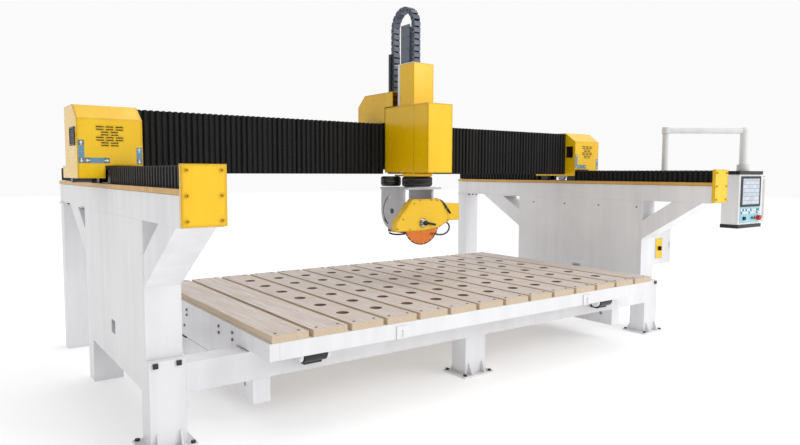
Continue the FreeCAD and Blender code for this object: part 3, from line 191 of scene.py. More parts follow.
def cover_cloth():
    """Black PVC-coated polyester fabric: a weave 1.4 mm wide, with the crests of the folds a little worn."""
    mat, tree, bsdf, coords = new_material("coated_bellows_cloth", 0.46, Sheen_Weight=0.06,
                                           Sheen_Roughness=0.5, Specular_IOR_Level=0.28)
    fold = add(tree, "Attribute", attribute_name="crest").outputs["Fac"]
    patches = noise(tree, coords, 22.0, 4.0, 0.7)
    worn = add(tree, "Math", {0: fold, 1: patches}, operation="MULTIPLY").outputs[0]
    tree.links.new(mix(tree, remap(tree, worn, 0.25, 0.75), "040405", "141416"), bsdf.inputs["Base Color"])
    weave = [add(tree, "TexWave", {"Vector": coords, "Scale": 230.0}, bands_direction=axis).outputs["Fac"]
             for axis in "XYZ"]
    height = add(tree, "Math", {0: weave[0], 1: weave[1]}, operation="ADD").outputs[0]
    height = add(tree, "Math", {0: height, 1: weave[2]}, operation="ADD").outputs[0]
    tree.links.new(remap(tree, worn, 0.2, 0.8, 0.40, 0.60), bsdf.inputs["Roughness"])
    bump(tree, bsdf, height, 0.00025)
    return mat


def bare_steel(name, colour, roughness, stretch, per_metre=420.0, depth=0.00006):
    """Machined steel: fine lines along one axis break up the highlight, with faint handling haze."""
    mat, tree, bsdf, coords = new_material(name, roughness, 1.0)
    lines = noise(tree, coords, per_metre, 3.0, 0.6, stretch)
    tone = noise(tree, coords, 12.0, 4.0, 0.6)
    tree.links.new(mix(tree, remap(tree, tone, 0.3, 0.7), colour[0], colour[1]), bsdf.inputs["Base Color"])
    tree.links.new(remap(tree, lines, 0.3, 0.7, roughness - 0.06, roughness + 0.10), bsdf.inputs["Roughness"])
    bump(tree, bsdf, lines, depth, 0.0012)
    return mat


def blade_copper():
    """Copper-flashed steel core with lathe-turned rings 1.2 mm apart and a darker sintered diamond rim."""
    mat, tree, bsdf, coords = new_material("copper_flashed_blade", 0.36, 1.0)
    centred = add(tree, "VectorMath", {0: coords, 1: (-HEAD_X, 0.0, -BLADE_Z)}, operation="ADD").outputs[0]
    flat = add(tree, "VectorMath", {0: centred, 1: (1.0, 0.0, 1.0)}, operation="MULTIPLY").outputs[0]
    radius = add(tree, "VectorMath", {0: flat}, operation="LENGTH").outputs["Value"]
    phase = add(tree, "Math", {0: radius, 1: 5200.0}, operation="MULTIPLY").outputs[0]
    turned = add(tree, "Math", {0: phase}, operation="SINE").outputs[0]
    rim = remap(tree, radius, BLADE_RADIUS - 0.0115, BLADE_RADIUS - 0.0105)
    core = mix(tree, noise(tree, coords, 40.0, 4.0, 0.6), "C4602A", "E08B4C")
    tree.links.new(mix(tree, rim, core, "8C5A38"), bsdf.inputs["Base Color"])
    tree.links.new(remap(tree, rim, 0.0, 1.0, 0.34, 0.62), bsdf.inputs["Roughness"])
    grit = add(tree, "Math", {0: noise(tree, coords, 1300.0, 2.0), 1: rim}, operation="MULTIPLY").outputs[0]
    rings = add(tree, "Math", {0: turned, 1: 0.08}, operation="MULTIPLY").outputs[0]
    height = add(tree, "Math", {0: grit, 1: rings}).outputs[0]
    bump(tree, bsdf, height, 0.0004, 0.0008)
    return mat


def moulded(name, tone, shade, roughness, grain=900.0, depth=0.00008, edge=0.001, **shader):
    """Moulded plastic or rubber: spark-eroded grain finer than 1 mm and slight tone drift."""
    mat, tree, bsdf, coords = new_material(name, roughness, **shader)
    tree.links.new(mix(tree, noise(tree, coords, 18.0, 4.0, 0.6), tone, shade), bsdf.inputs["Base Color"])
    bump(tree, bsdf, noise(tree, coords, grain, 2.0), depth, edge)
    return mat


def screen_face():
    """Flat display behind glass: pale blue-grey picture of generic tiles, gloss front."""
    mat, tree, bsdf, coords = new_material("display_glass", 0.08, Coat_Weight=1.0, Coat_Roughness=0.03)
    x, _, z = add(tree, "SeparateXYZ", {0: coords}).outputs
    plane = add(tree, "CombineXYZ", {0: x, 1: z, 2: 0.0}).outputs[0]
    tiles = add(tree, "TexBrick", {"Vector": plane, "Scale": 1.0, "Mortar Size": 0.0022, "Brick Width": 0.088,
                                   "Row Height": 0.037, "Color1": srgb("A9B4C4"), "Color2": srgb("C3CCD8"),
                                   "Mortar": srgb("7F8A9C")}).outputs["Color"]
    tree.links.new(tiles, bsdf.inputs["Base Color"])
    tree.links.new(tiles, bsdf.inputs["Emission Color"])
    bsdf.inputs["Emission Strength"].default_value = 0.06
    bump(tree, bsdf, noise(tree, coords, 30.0, 1.0), 0.00002)
    return mat


MATERIALS = {
    "frame_paint": powder_coat("white_powder_coat", "ECECEE", "E1E0E3", 0.36),
    "yellow_paint": powder_coat("yellow_powder_coat", "FACB02", "F6C000", 0.22, 0.018, 0.55),
    "tray_paint": powder_coat("ochre_powder_coat", "D9A94E", "C8943C", 0.42),
    "case_paint": powder_coat("light_grey_powder_coat", "E6E6E6", "D6D7D8", 0.34),
    "black_paint": powder_coat("black_powder_coat", "0E0E10", "1B1C1F", 0.36, 0.002),
    "cast_yoke": powder_coat("grey_enamelled_casting", "C9CACC", "AEB0B4", 0.32, 0.002),
    "wood_slat": slat_wood(),
    "bellows_cloth": cover_cloth(),
    "ground_steel": bare_steel("ground_rail_steel", ("A9ABAF", "8E9096"), 0.26, (1.0, 1.0, 0.05)),
    "zinc_bolt": bare_steel("zinc_plated_steel", ("8F8C86", "6E6B66"), 0.42, (1.0, 1.0, 1.0), 160.0, 0.00010),
    "arbor_steel": bare_steel("polished_chrome_steel", ("D8D9DB", "BFC0C3"), 0.14, (1.0, 0.05, 1.0), 500.0,
                              0.00002),
    "blade_steel": blade_copper(),
    "chain_plastic": moulded("glass_filled_polyamide", "4A505F", "626A7B", 0.34, 700.0, 0.0001),
    "trim_plastic": moulded("black_abs_plastic", "101114", "1C1D21", 0.40),
    "rubber_pad": moulded("black_rubber", "141414", "232323", 0.72, 260.0, 0.0003),
    "hose_rubber": moulded("black_hose_rubber", "0C0C0D", "1A1A1C", 0.50, 420.0, 0.00015),
    "green_button": moulded("green_polycarbonate", "15803A", "1B9645", 0.16, Transmission_Weight=0.05),
    "red_button": moulded("red_polycarbonate", "B5120F", "C9221A", 0.18, Transmission_Weight=0.05),
    "key_film": moulded("printed_polyester_film", "8FC3D6", "A5D2E1", 0.34, 1400.0, 0.00003),
    "screen_glass": screen_face()}
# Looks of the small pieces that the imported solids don't have
WHITE_KEY = moulded("white_key_film", "F2F3F4", "E4E6E8", 0.34, 1400.0, 0.00003)
BLUE_MARK = moulded("blue_mark_film", "5F90AE", "6E9DB8", 0.40, 900.0, 0.00002)
GREY_MARK = moulded("slate_mark_film", "5C7183", "687E90", 0.40, 900.0, 0.00002)
NAVY_KEY = moulded("navy_key_film", "1F3E66", "294B78", 0.34, 1400.0, 0.00003)
# Painted shade: a near-black look for the sheet behind the vent slats, where there is only shade
PAINTED_SHADE_SHEET = moulded("shadowed_opening", "060606", "0B0B0B", 0.80, 300.0, 0.0001)
BLUE_PLATE = powder_coat("blue_grey_enamel", "59616F", "6B7482", 0.34, 0.001)

for part in frame["record"]["subparts"]:
    obj = frame["nodes"][part["node"]]
    obj.data.materials.clear()
    obj.data.materials.append(MATERIALS[part["material_slot"]])


# ------------------------------------------------------------------ mesh tools
def piece(name, verts, faces, material, body=None, slot=None, smooth=False, bevel=0.0, attributes=None):
    """A mesh object at the origin from whole arrays; bevel rounds its edges by that many metres."""
    mesh = bpy.data.meshes.new(name)
    mesh.from_pydata(np.asarray(verts, float).tolist(), [], [list(map(int, f)) for f in faces])
    mesh.polygons.foreach_set("use_smooth", [smooth] * len(mesh.polygons))
    for key, values in (attributes or {}).items():
        mesh.attributes.new(key, "FLOAT", "POINT").data.foreach_set("value", np.asarray(values, np.float32))
    mesh.materials.append(material)
    obj = bpy.data.objects.new(name, mesh)
    bpy.context.scene.collection.objects.link(obj)
    if bevel:
        mod = obj.modifiers.new("edge", "BEVEL")
        mod.width = bevel
        mod.segments = 2
        mod.limit_method = "ANGLE"
    if body:
        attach(obj, body)
    return obj


CUBE = np.array([(x, y, z) for x in (0, 1) for y in (0, 1) for z in (0, 1)], float)
CUBE_FACES = np.array([(0, 1, 3, 2), (4, 6, 7, 5), (0, 4, 5, 1), (2, 3, 7, 6), (0, 2, 6, 4), (1, 5, 7, 3)])


def boxes(items):
    """Boxes from (low corner, high corner) pairs: unit cubes scaled and moved, as one pair of arrays."""
    low = np.array([i[0] for i in items], float)[:, None, :]
    high = np.array([i[1] for i in items], float)[:, None, :]
    verts = (low + CUBE[None] * (high - low)).reshape(-1, 3)
    faces = (CUBE_FACES[None] + 8 * np.arange(len(items))[:, None, None]).reshape(-1, 4)
    return verts, faces


def loft(rings):
    """Closed skin over rings of equal point count: quads between neighbours and a flat cap at each end."""
    rings = np.asarray(rings, float)
    count, around = rings.shape[:2]
    k = np.arange(count - 1)[:, None] * around
    j = np.arange(around)[None]
    after = (j + 1) % around
    quads = np.stack([k + j, k + after, k + around + after, k + around + j], -1).reshape(-1, 4)
    first = list(range(around))[::-1]
    last = [(count - 1) * around + i for i in range(around)]
    return rings.reshape(-1, 3), quads.tolist() + [first, last]


def frames(path):
    """Tangent and two normals at each point of a path, turned as little as possible from point to point."""
    path = np.asarray(path, float)
    tangent = np.gradient(path, axis=0)
    tangent /= np.linalg.norm(tangent, axis=1, keepdims=True)
    side = np.cross(tangent[0], (0.31, 0.17, 0.93))
    sides = []
    for t in tangent:
        side = side - t * np.dot(side, t)
        side = side / np.linalg.norm(side)
        sides.append(side)
    sides = np.array(sides)
    return tangent, sides, np.cross(tangent, sides)


def tube(path, radius, around=14):
    """Round tube along a path; radius is one number or one per point."""
    tangent, u, v = frames(path)
    turn = np.linspace(0, 2 * math.pi, around, endpoint=False)
    radius = np.broadcast_to(radius, (len(path),))[:, None, None]
    ring = u[:, None] * np.cos(turn)[None, :, None] + v[:, None] * np.sin(turn)[None, :, None]
    return loft(np.asarray(path, float)[:, None] + radius * ring)


def smooth_path(points, steps=12):
    """Catmull-Rom curve through the points."""
    p = np.asarray(points, float)
    p = np.vstack([2 * p[0] - p[1], p, 2 * p[-1] - p[-2]])
    t = np.linspace(0, 1, steps, endpoint=False)[:, None]
    curve = []
    for a, b, c, d in zip(p, p[1:], p[2:], p[3:]):
        curve.append(0.5 * (2 * b + (c - a) * t + (2 * a - 5 * b + 4 * c - d) * t ** 2
                            + (3 * b - a - 3 * c + d) * t ** 3))
    return np.vstack(curve + [p[-2][None]])


def merge(parts):
    """Several (vertices, faces) pairs as one pair."""
    verts, faces, offset = [], [], 0
    for v, f in parts:
        verts.append(np.asarray(v, float))
        faces += [[int(i) + offset for i in face] for face in f]
        offset += len(v)
    return np.vstack(verts), faces


def screw_heads(points, normal, radius, height, hexagon=False):
    """Round heads with a driver recess, or six-sided heads with a chamfer, standing at the points along the
    normal. Each is a lathed outline of (height share, radius share) pairs."""
    axis = np.array(normal, float)
    u = np.cross(axis, (0.0, 0.0, 1.0) if abs(axis[2]) < 0.9 else (1.0, 0.0, 0.0))
    v = np.cross(axis, u)
    turn = np.linspace(0, 2 * math.pi, 6 if hexagon else 16, endpoint=False)
    spokes = np.cos(turn)[:, None] * u + np.sin(turn)[:, None] * v
    recessed = [(0.0, 1.0), (0.72, 1.0), (1.0, 0.80), (1.0, 0.42), (0.28, 0.42)]
    chamfered = [(0.0, 1.0), (0.9, 1.0), (1.0, 0.9), (1.0, 0.3)]
    outline = chamfered if hexagon else recessed
    return merge([loft([np.array(p) + axis * height * h + spokes * radius * r for h, r in outline])
                  for p in points])


# ------------------------------------------------------------------ folding covers
CLOTH_WALL, COVER_CORNER, ROOF_SAG = 0.0025, 0.010, 0.002


def fold_shape(folds, depth):
    """Share along the axis, inward pull and crest share of each ring. Eight rings a fold make a broad flat
    crest, a steep flank and a narrow valley. Each fold is pulled a little differently, as real ones are."""
    share = np.array([0.0, 0.07, 0.16, 0.44, 0.53, 0.62, 0.76, 0.90])
    pull = np.array([0.62, 0.14, 0.0, 0.0, 0.14, 0.62, 1.0, 1.0])
    along = (np.arange(folds)[:, None] + share[None]).ravel()
    uneven = 1 + 0.10 * rng.standard_normal(folds)[:, None]
    inward = (depth * pull[None] * uneven).ravel()
    lift = np.repeat(0.0009 * rng.standard_normal(folds), 8)
    return along / folds, inward + np.abs(lift), np.tile(1 - pull, folds)


def folded_cover(name, node, axis, start, end, low, high, folds, depth, roof_share):
    """Pleated cover with an upside-down U section: two sides and a roof, rounded corners and a thin wall.
    Ring by ring the section is pulled inwards by fold_shape, the roof only by roof_share of that. The roof also
    sags a little."""
    half = (high[0] - low[0]) / 2
    middle = (high[0] + low[0]) / 2
    radius = COVER_CORNER
    corner = [(math.sin(a), math.cos(a)) for a in np.linspace(0, math.pi / 2, 5)]
    side_z = np.linspace(low[1], high[1] - radius, 7)
    roof = np.linspace(-(half - radius), half - radius, 9)[1:-1]
    points = [(-half, z, -1.0, 0.0) for z in side_z[:-1]]
    points += [(-half + radius - radius * c, high[1] - radius + radius * s, -c, s) for s, c in corner]
    points += [(x, high[1], 0.0, 1.0) for x in roof]
    points += [(half - radius + radius * s, high[1] - radius + radius * c, s, c) for s, c in corner]
    points += [(half, z, 1.0, 0.0) for z in side_z[::-1][1:]]
    p = np.array(points)
    sag = ROOF_SAG * (np.abs(p[:, 3]) * (1 - (p[:, 0] / half) ** 2))
    along, pull, crest = fold_shape(folds, depth)
    along, pull, crest = np.append(along, 1.0), np.append(pull, pull[0]), np.append(crest, crest[0])

    def loops(extra):
        """The section at every ring, moved inwards by the ring's pull plus extra."""
        move = (pull[:, None] + extra)[..., None]
        return np.stack([p[:, 0], p[:, 1] - sag], -1)[None] - move * p[None, :, 2:4] * (1.0, roof_share)

    wall = np.concatenate([loops(0.0), loops(CLOTH_WALL)[:, ::-1]], 1)
    line = (start + (end - start) * along)[:, None] * np.ones(wall.shape[1])
    across, height = wall[..., 0] + middle, wall[..., 1]
    rings = np.stack([line, across, height] if axis == "x" else [across, line, height], -1)
    if axis == "y":
        rings = rings[:, ::-1]
    verts, faces = loft(rings)
    tone = np.repeat(crest, wall.shape[1])
    obj = piece(name, verts, faces, MATERIALS["bellows_cloth"], attributes={"crest": tone})
    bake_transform(obj)
    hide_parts(node)


RAIL_COVER_HALF, RAIL_COVER_Z = 0.088, (1.398, 1.500)
BRIDGE_COVER_Y, BRIDGE_COVER_Z = (0.860, 1.156), (1.460, 1.868)
# Each cover runs from the body that it is fixed to, to the body that moves
for side, tag in ((-1, "left"), (1, "right")):
    x_low, x_high = side * RAIL_X - RAIL_COVER_HALF, side * RAIL_X + RAIL_COVER_HALF
    for node, fixed, moving, folds in (("front_rail_bellows", -0.665, 0.745, 30),
                                       ("rear_rail_bellows", 2.526, 1.259, 27)):
        folded_cover(f"{node}_{tag}", node, "y", min(fixed, moving), max(fixed, moving),
                     (x_low, RAIL_COVER_Z[0]), (x_high, RAIL_COVER_Z[1]), folds, 0.016,
                     0.8)
for node, fixed, moving, folds in (("left_bridge_bellows", -2.083, -0.172, 49),
                                   ("right_bridge_bellows", 2.083, 0.068, 52)):
    folded_cover(node + "_cloth", node, "x", min(fixed, moving), max(fixed, moving),
                 (BRIDGE_COVER_Y[0], BRIDGE_COVER_Z[0]), (BRIDGE_COVER_Y[1], BRIDGE_COVER_Z[1]), folds, 0.013,
                 0.4)


# ------------------------------------------------------------------ cable chain
# Legs and bend of the chain's middle line, its two ends, and one link's length
REAR_Y, FRONT_Y, BEND_Z = 0.868, 0.596, 2.623
REAR_END, FRONT_END = 2.1146, 2.3183
BEND_R = (REAR_Y - FRONT_Y) / 2
PITCH = 0.046


def chain_line(lengths, offset=0.0):
    """Points, directions and outward normals at arc lengths along the chain: straight up the rear leg,
    half a circle, straight down the front leg; offset moves outwards from the middle line."""
    rise = BEND_Z - REAR_END
    arc = math.pi * BEND_R
    s = np.asarray(lengths, float)
    turn = np.clip((s - rise) / BEND_R, 0, math.pi)
    reach = BEND_R + offset
    y = (REAR_Y + FRONT_Y) / 2 + reach * np.cos(turn)
    z = BEND_Z + reach * np.sin(turn) - np.clip(rise - s, 0, None) - np.clip(s - rise - arc, 0, None)
    direction = np.stack([0 * s, -np.sin(turn), np.cos(turn)], -1)
    outward = np.stack([0 * s, np.cos(turn), np.sin(turn)], -1)
    return np.stack([HEAD_X + 0 * s, y, z], -1), direction, outward


def stadium(length, height, corner=5):
    """Outline of a plate with round ends, as (along, across) pairs."""
    r = height / 2
    end = np.linspace(-math.pi / 2, math.pi / 2, corner * 2)
    right = np.stack([length / 2 - r + r * np.cos(end), r * np.sin(end)], -1)
    return np.vstack([right, -right])


def chain_pieces():
    """Link plates in two alternating planes with their pin bosses, inner and outer crossbars with a
    shallow groove, and three cables."""
    total = (BEND_Z - REAR_END) + math.pi * BEND_R + (BEND_Z - FRONT_END)
    count = int(total / PITCH)
    stations = (np.arange(count) + 0.5) * total / count
    centre, direction, outward = chain_line(stations)
    plate = stadium(PITCH * 1.30, 0.040)
    boss = stadium(0.016, 0.016)
    plates, bars = [], []
    for i in range(count):
        base = centre[i] + plate[:, :1] * direction[i] + plate[:, 1:] * outward[i]
        for side in (-1, 1):
            outer = 0.030 if i % 2 == 0 else 0.0255
            inner = outer - 0.0042
            pair = sorted((side * outer, side * inner), reverse=True)
            plates.append(loft([base + np.array((x, 0, 0)) for x in pair]))
            ring = centre[i] + boss[:, :1] * direction[i] + boss[:, 1:] * outward[i]
            edge = sorted((side * outer, side * (outer + 0.0016 if i % 2 else outer - 0.0005)), reverse=True)
            plates.append(loft([ring + np.array((x, 0, 0)) for x in edge]))
        for across in (-0.0185, 0.0185):
            corners = [(-0.018, across - 0.0024), (-0.006, across - 0.0024), (0.018, across - 0.0024),
                       (0.018, across + 0.0024), (0.006, across + 0.0016), (-0.006, across + 0.0016),
                       (-0.018, across + 0.0024)]
            bar = np.array([centre[i] + a * direction[i] + c * outward[i] for a, c in corners])
            bars.append(loft([bar + np.array((x, 0, 0)) for x in (0.0295, -0.0295)]))
    s = np.linspace(0.004, total - 0.004, 90)
    cables = [tube(chain_line(s, offset)[0] + np.array((x, 0, 0)), r, 12)
              for x, offset, r in ((-0.015, 0.002, 0.0080), (0.002, -0.004, 0.0068), (0.016, 0.003, 0.0060))]
    return merge(plates), merge(bars), merge(cables)


link_plates, cross_bars, cable_run = chain_pieces()
for name, (verts, faces), look in (("chain_links", link_plates, MATERIALS["chain_plastic"]),
                                   ("chain_crossbars", cross_bars, MATERIALS["chain_plastic"]),
                                   ("chain_cables", cable_run, MATERIALS["hose_rubber"])):
    obj = piece(name, verts, faces, look, smooth=name == "chain_cables")
    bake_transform(obj)
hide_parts("energy_chain")

# Sheet channel behind the chain's rear leg, and the bracket that holds its front end
guide = boxes([((HEAD_X - 0.048, 0.895, 2.115), (HEAD_X + 0.048, 0.899, 2.430)),
               ((HEAD_X - 0.048, 0.870, 2.115), (HEAD_X - 0.045, 0.895, 2.430)),
               ((HEAD_X + 0.045, 0.870, 2.115), (HEAD_X + 0.048, 0.895, 2.430))])
piece("chain_channel", *guide, MATERIALS["black_paint"], "head", "black_paint", bevel=0.0006)
BRACKET_LOW, BRACKET_SIDE = 2.3185, HEAD_X - 0.040
mast = boxes([((BRACKET_SIDE, 0.622, BRACKET_LOW), (BRACKET_SIDE + 0.004, 0.740, 2.630)),
              ((BRACKET_SIDE, 0.622, BRACKET_LOW), (HEAD_X + 0.038, 0.626, 2.610)),
              ((HEAD_X + 0.036, 0.622, BRACKET_LOW), (HEAD_X + 0.040, 0.700, 2.520))])
piece("chain_bracket", *mast, BLUE_PLATE, "ram", "chain_plastic", bevel=0.0006)
heads = screw_heads([(BRACKET_SIDE, y, z) for y in (0.645, 0.715) for z in (2.345, 2.44, 2.535, 2.605)],
                    (-1, 0, 0), 0.006, 0.004)
piece("chain_bracket_screws", *heads, MATERIALS["zinc_bolt"], "ram", "zinc_bolt")


# ------------------------------------------------------------------ carriage fittings
# Size of one square of the axis marks, the carriage covers' front faces and the marks' lower edge
TILE, FRONT, MARK_LOW = 0.035, 0.7468, 1.520
VENT_LOW, VENT_HIGH = 1.628, 1.740


def arrow(tail, direction, size):
    """Flat arrow in a face plane, pointing along direction: its outline as (across, up) pairs."""
    shape = np.array([(-0.46, -0.12), (0.04, -0.12), (0.04, -0.36), (0.46, 0.0), (0.04, 0.36), (0.04, 0.12),
                      (-0.46, 0.12)]) * size
    turn = np.array([[direction[0], -direction[1]], [direction[1], direction[0]]])
    return np.array(tail) + shape @ turn.T


def flat_shape(outline, y, thick):
    """Thin plate standing in front of a wall at depth y, from an (x, z) outline."""
    ring = np.stack([outline[:, 0], 0 * outline[:, 0] + y, outline[:, 1]], -1)
    area = np.sum(outline[:, 0] * np.roll(outline[:, 1], -1) - np.roll(outline[:, 0], -1) * outline[:, 1])
    rings = [ring, ring - np.array((0, thick, 0))]
    return loft(rings if area < 0 else [r[::-1] for r in rings])


def vent_grille(wall, out, y_low, y_high):
    """Frame and six slats of a moulded vent standing out from a side wall, and the dark sheet behind them,
    which is painted shade for the inside of the vent.
    """
    face = wall + out * 0.0003

    def bar(reach, y0, z0, y1, z1):
        """A box from the wall's face out to reach."""
        near, far = sorted((face, face + out * reach))
        return (near, y0, z0), (far, y1, z1)

    rim = [bar(0.006, y_low, VENT_LOW, y_high, VENT_LOW + 0.012),
           bar(0.006, y_low, VENT_HIGH - 0.012, y_high, VENT_HIGH),
           bar(0.006, y_low, VENT_LOW + 0.012, y_low + 0.010, VENT_HIGH - 0.012),
           bar(0.006, y_high - 0.010, VENT_LOW + 0.012, y_high, VENT_HIGH - 0.012)]
    slats = [bar(0.0035, y_low + 0.010, VENT_LOW + 0.018 + 0.0136 * k, y_high - 0.010,
                 VENT_LOW + 0.027 + 0.0136 * k) for k in range(6)]
    sheet = [bar(0.001, y_low + 0.010, VENT_LOW + 0.012, y_high - 0.010, VENT_HIGH - 0.012)]
    return boxes(rim + slats), boxes(sheet)


for side, tag in ((-1, "left"), (1, "right")):
    outer = -2.4350 if side < 0 else 2.1070
    inner = -2.1050 if side < 0 else 2.4370
    column = [((outer, MARK_LOW + TILE * (k + 0.5)), k) for k in range(4)]
    row = [((outer + TILE * (k + 1), MARK_LOW + TILE * 0.5), k) for k in range(4)]
    stack = [((inner, MARK_LOW - 0.005 + TILE * (k + 0.5)), k) for k in range(3)]
    grey, blue, white = [], [], []
    for group, way in ((column, (0, 1)), (row, (1, 0)), (stack, (0, 1))):
        for (x, z), k in group:
            plate = np.array([(x, z)]) + TILE * 0.48 * np.array([(-1, -1), (1, -1), (1, 1), (-1, 1)])
            (blue if k in (1, 2) else grey).append(flat_shape(plate, FRONT, 0.0005))
        for centre, sign in ((group[0][0], -1), (group[-1][0], 1)):
            outline = arrow(centre, (way[0] * sign, way[1] * sign), TILE * 0.82)
            white.append(flat_shape(outline, FRONT - 0.0005, 0.0003))
    piece(f"axis_marks_grey_{tag}", *merge(grey), GREY_MARK, "bridge")
    piece(f"axis_marks_blue_{tag}", *merge(blue), BLUE_MARK, "bridge")
    piece(f"axis_arrows_{tag}", *merge(white), WHITE_KEY, "bridge")

    for label, wall, out, y_low, y_high in (("outer", side * 2.458, side, 0.800, 0.955),
                                            ("inner", side * 2.084, -side, 0.772, 0.850)):
        grille, sheet = vent_grille(wall, out, y_low, y_high)
        piece(f"grille_{tag}_{label}", *grille, MATERIALS["trim_plastic"], "bridge", "trim_plastic",
              bevel=0.0008)
        # The dark sheet behind the slats is painted shade for the vent's inside
        piece(f"grille_painted_shade_{tag}_{label}", *sheet, PAINTED_SHADE_SHEET, "bridge", "trim_plastic")


# ------------------------------------------------------------------ blade head
# The turning axis, the drums of its drive and the motor beside it, and the plane that the hoses hang in
TURN_Y, DRUM_LOW, DRUM_HIGH = 0.570, 1.3623, 1.4415
MOTOR_X, MOTOR_Y, MOTOR_RADIUS = HEAD_X - 0.096, TURN_Y + 0.224, 0.082
HOSE_Y = 0.484


def rounded_drum(x, y, radius):
    """Drum of the turning drive with rims rounded by 20 mm and two grooves 2 mm deep round its middle."""
    low, high, edge = DRUM_LOW, DRUM_HIGH, 0.020
    turn = np.linspace(0, 2 * math.pi, 64, endpoint=False)
    arc = np.linspace(0, math.pi / 2, 7)
    foot = [(radius - edge + edge * math.sin(a), low + edge - edge * math.cos(a)) for a in arc]
    crown = [(radius - edge + edge * math.cos(a), high - edge + edge * math.sin(a)) for a in arc]
    middle = (low + high) / 2
    groove = [(radius - d, middle + z) for z, d in (
        (-0.008, 0.0), (-0.007, 0.002), (-0.005, 0.002), (-0.004, 0.0),
        (0.004, 0.0), (0.005, 0.002), (0.007, 0.002), (0.008, 0.0))]
    outline = [(0.4 * radius, low)] + foot + groove + crown + [(0.4 * radius, high)]
    return loft([np.stack([x + r * np.cos(turn), y + r * np.sin(turn), 0 * turn + z], -1)
                 for r, z in outline])


drums = [rounded_drum(HEAD_X, TURN_Y, 0.120), rounded_drum(MOTOR_X, MOTOR_Y, MOTOR_RADIUS)]
turn_housings = piece("turn_housings", *merge(drums), MATERIALS["black_paint"], "ram", "black_paint",
                      smooth=True)
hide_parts("turn_drive")
strap = MOTOR_RADIUS + 0.001
band = tube([(MOTOR_X + strap * math.cos(a), MOTOR_Y + strap * math.sin(a), 1.402)
             for a in np.linspace(math.radians(-150), math.radians(60), 40)], 0.0035, 8)
piece("turn_motor_band", *band, MATERIALS["zinc_bolt"], "ram", "zinc_bolt", smooth=True)

# Water hoses: one loops from the guard's side down to the blade, one enters the guard from above, one comes
# out at the back
drip = smooth_path([(0.150, 0.520, 1.080), (0.205, 0.500, 1.066), (0.212, HOSE_Y, 1.030),
                    (0.186, HOSE_Y, 0.992), (0.130, HOSE_Y, 0.976), (0.060, HOSE_Y, 0.985)])
feed = smooth_path([(0.120, 0.560, 1.262), (0.147, 0.500, 1.240), (0.188, HOSE_Y, 1.186),
                    (0.222, HOSE_Y, 1.145)])
back = smooth_path([(-0.330, 0.560, 1.010), (-0.300, 0.545, 0.998), (-0.240, 0.530, 0.994),
                    (-0.190, 0.522, 1.000)])
hoses = piece("coolant_hoses", *merge([tube(drip, 0.0065), tube(back, 0.0065)]), MATERIALS["hose_rubber"],
              "tilt_head", "hose_rubber", smooth=True)
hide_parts("coolant_pipes")
piece("feed_hose", *tube(feed, 0.0085), MATERIALS["hose_rubber"], "tilt_head", "hose_rubber", smooth=True)
ferrules = [tube([hose[i], hose[i + 2]], radius)
            for hose, radius, places in ((feed, 0.0105, (8, 22)), (drip, 0.0085, (6, 54))) for i in places]
piece("hose_ferrules", *merge(ferrules), MATERIALS["zinc_bolt"], "tilt_head", "zinc_bolt")
lever = [tube([(HEAD_X + 0.018, 0.476, BLADE_Z), (HEAD_X + 0.062, 0.470, BLADE_Z - 0.008),
               (HEAD_X + 0.104, 0.466, BLADE_Z - 0.017)], 0.0095, 16),
         tube([(HEAD_X, 0.452, BLADE_Z), (HEAD_X, 0.4655, BLADE_Z)], 0.020, 24)]
piece("flange_key", *merge(lever), MATERIALS["trim_plastic"], "tilt_head", "trim_plastic", smooth=True)
# Screws round the rim of the guard's front sheet
rim = [(-0.300, 1.040), (-0.245, 1.112), (-0.140, 1.232), (-0.085, 1.256), (0.030, 1.256), (0.090, 1.250),
       (0.170, 1.190), (0.198, 1.090), (0.120, 1.046), (-0.180, 1.030)]
piece("guard_screws", *screw_heads([(x, 0.4908, z) for x, z in rim], (0, -1, 0), 0.0055, 0.0035),
      MATERIALS["zinc_bolt"], "tilt_head", "zinc_bolt")

# ------------------------------------------------------------------ fasteners drawn only here
# Bolts in pairs on the table's end faces
girder = [(-TABLE_HALF - 0.0003, y, z) for y, z in (
    (1.003, 0.508), (1.003, 0.470), (1.057, 0.387), (0.381, 0.513), (0.381, 0.473),
    (0.157, 0.517), (0.157, 0.475), (1.440, 0.508), (1.440, 0.470))]
mirror = [(-x, y, z) for x, y, z in girder]
piece("girder_bolts", *merge([screw_heads(girder, (-1, 0, 0), 0.010, 0.008, True),
                              screw_heads(mirror, (1, 0, 0), 0.010, 0.008, True)]),
      MATERIALS["zinc_bolt"], "table", "zinc_bolt")

# Painted screw heads on the yellow end plates of the rail beams
PLATE_FACE, PLATE_LOW = -0.6974, 1.228
plate_screws = [(side * RAIL_X + x, PLATE_FACE, PLATE_LOW + z)
                for side in (-1, 1) for x in (-0.078, 0.078) for z in (0.026, 0.138, 0.250)]
piece("plate_screw_caps", *screw_heads(plate_screws, (0, -1, 0), 0.0085, 0.0052), MATERIALS["yellow_paint"],
      "base", "zinc_bolt")

# ------------------------------------------------------------------ pendant
screen_low, screen_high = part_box("pendant_screen")
bezel_y = (screen_low.y - 0.001, screen_low.y + 0.004)
left, right = screen_low.x, screen_high.x
base, top = screen_low.z, screen_high.z
bezel = boxes([((x0, bezel_y[0], z0), (x1, bezel_y[1], z1)) for x0, x1, z0, z1 in (
    (left - 0.012, left + 0.020, base - 0.012, top + 0.012),
    (right - 0.014, right + 0.012, base - 0.012, top + 0.012),
    (left + 0.020, right - 0.014, top - 0.010, top + 0.012),
    (left + 0.020, right - 0.014, base - 0.012, base + 0.010))])
piece("screen_bezel", *bezel, MATERIALS["trim_plastic"], "pendant", "trim_plastic", bevel=0.0015)
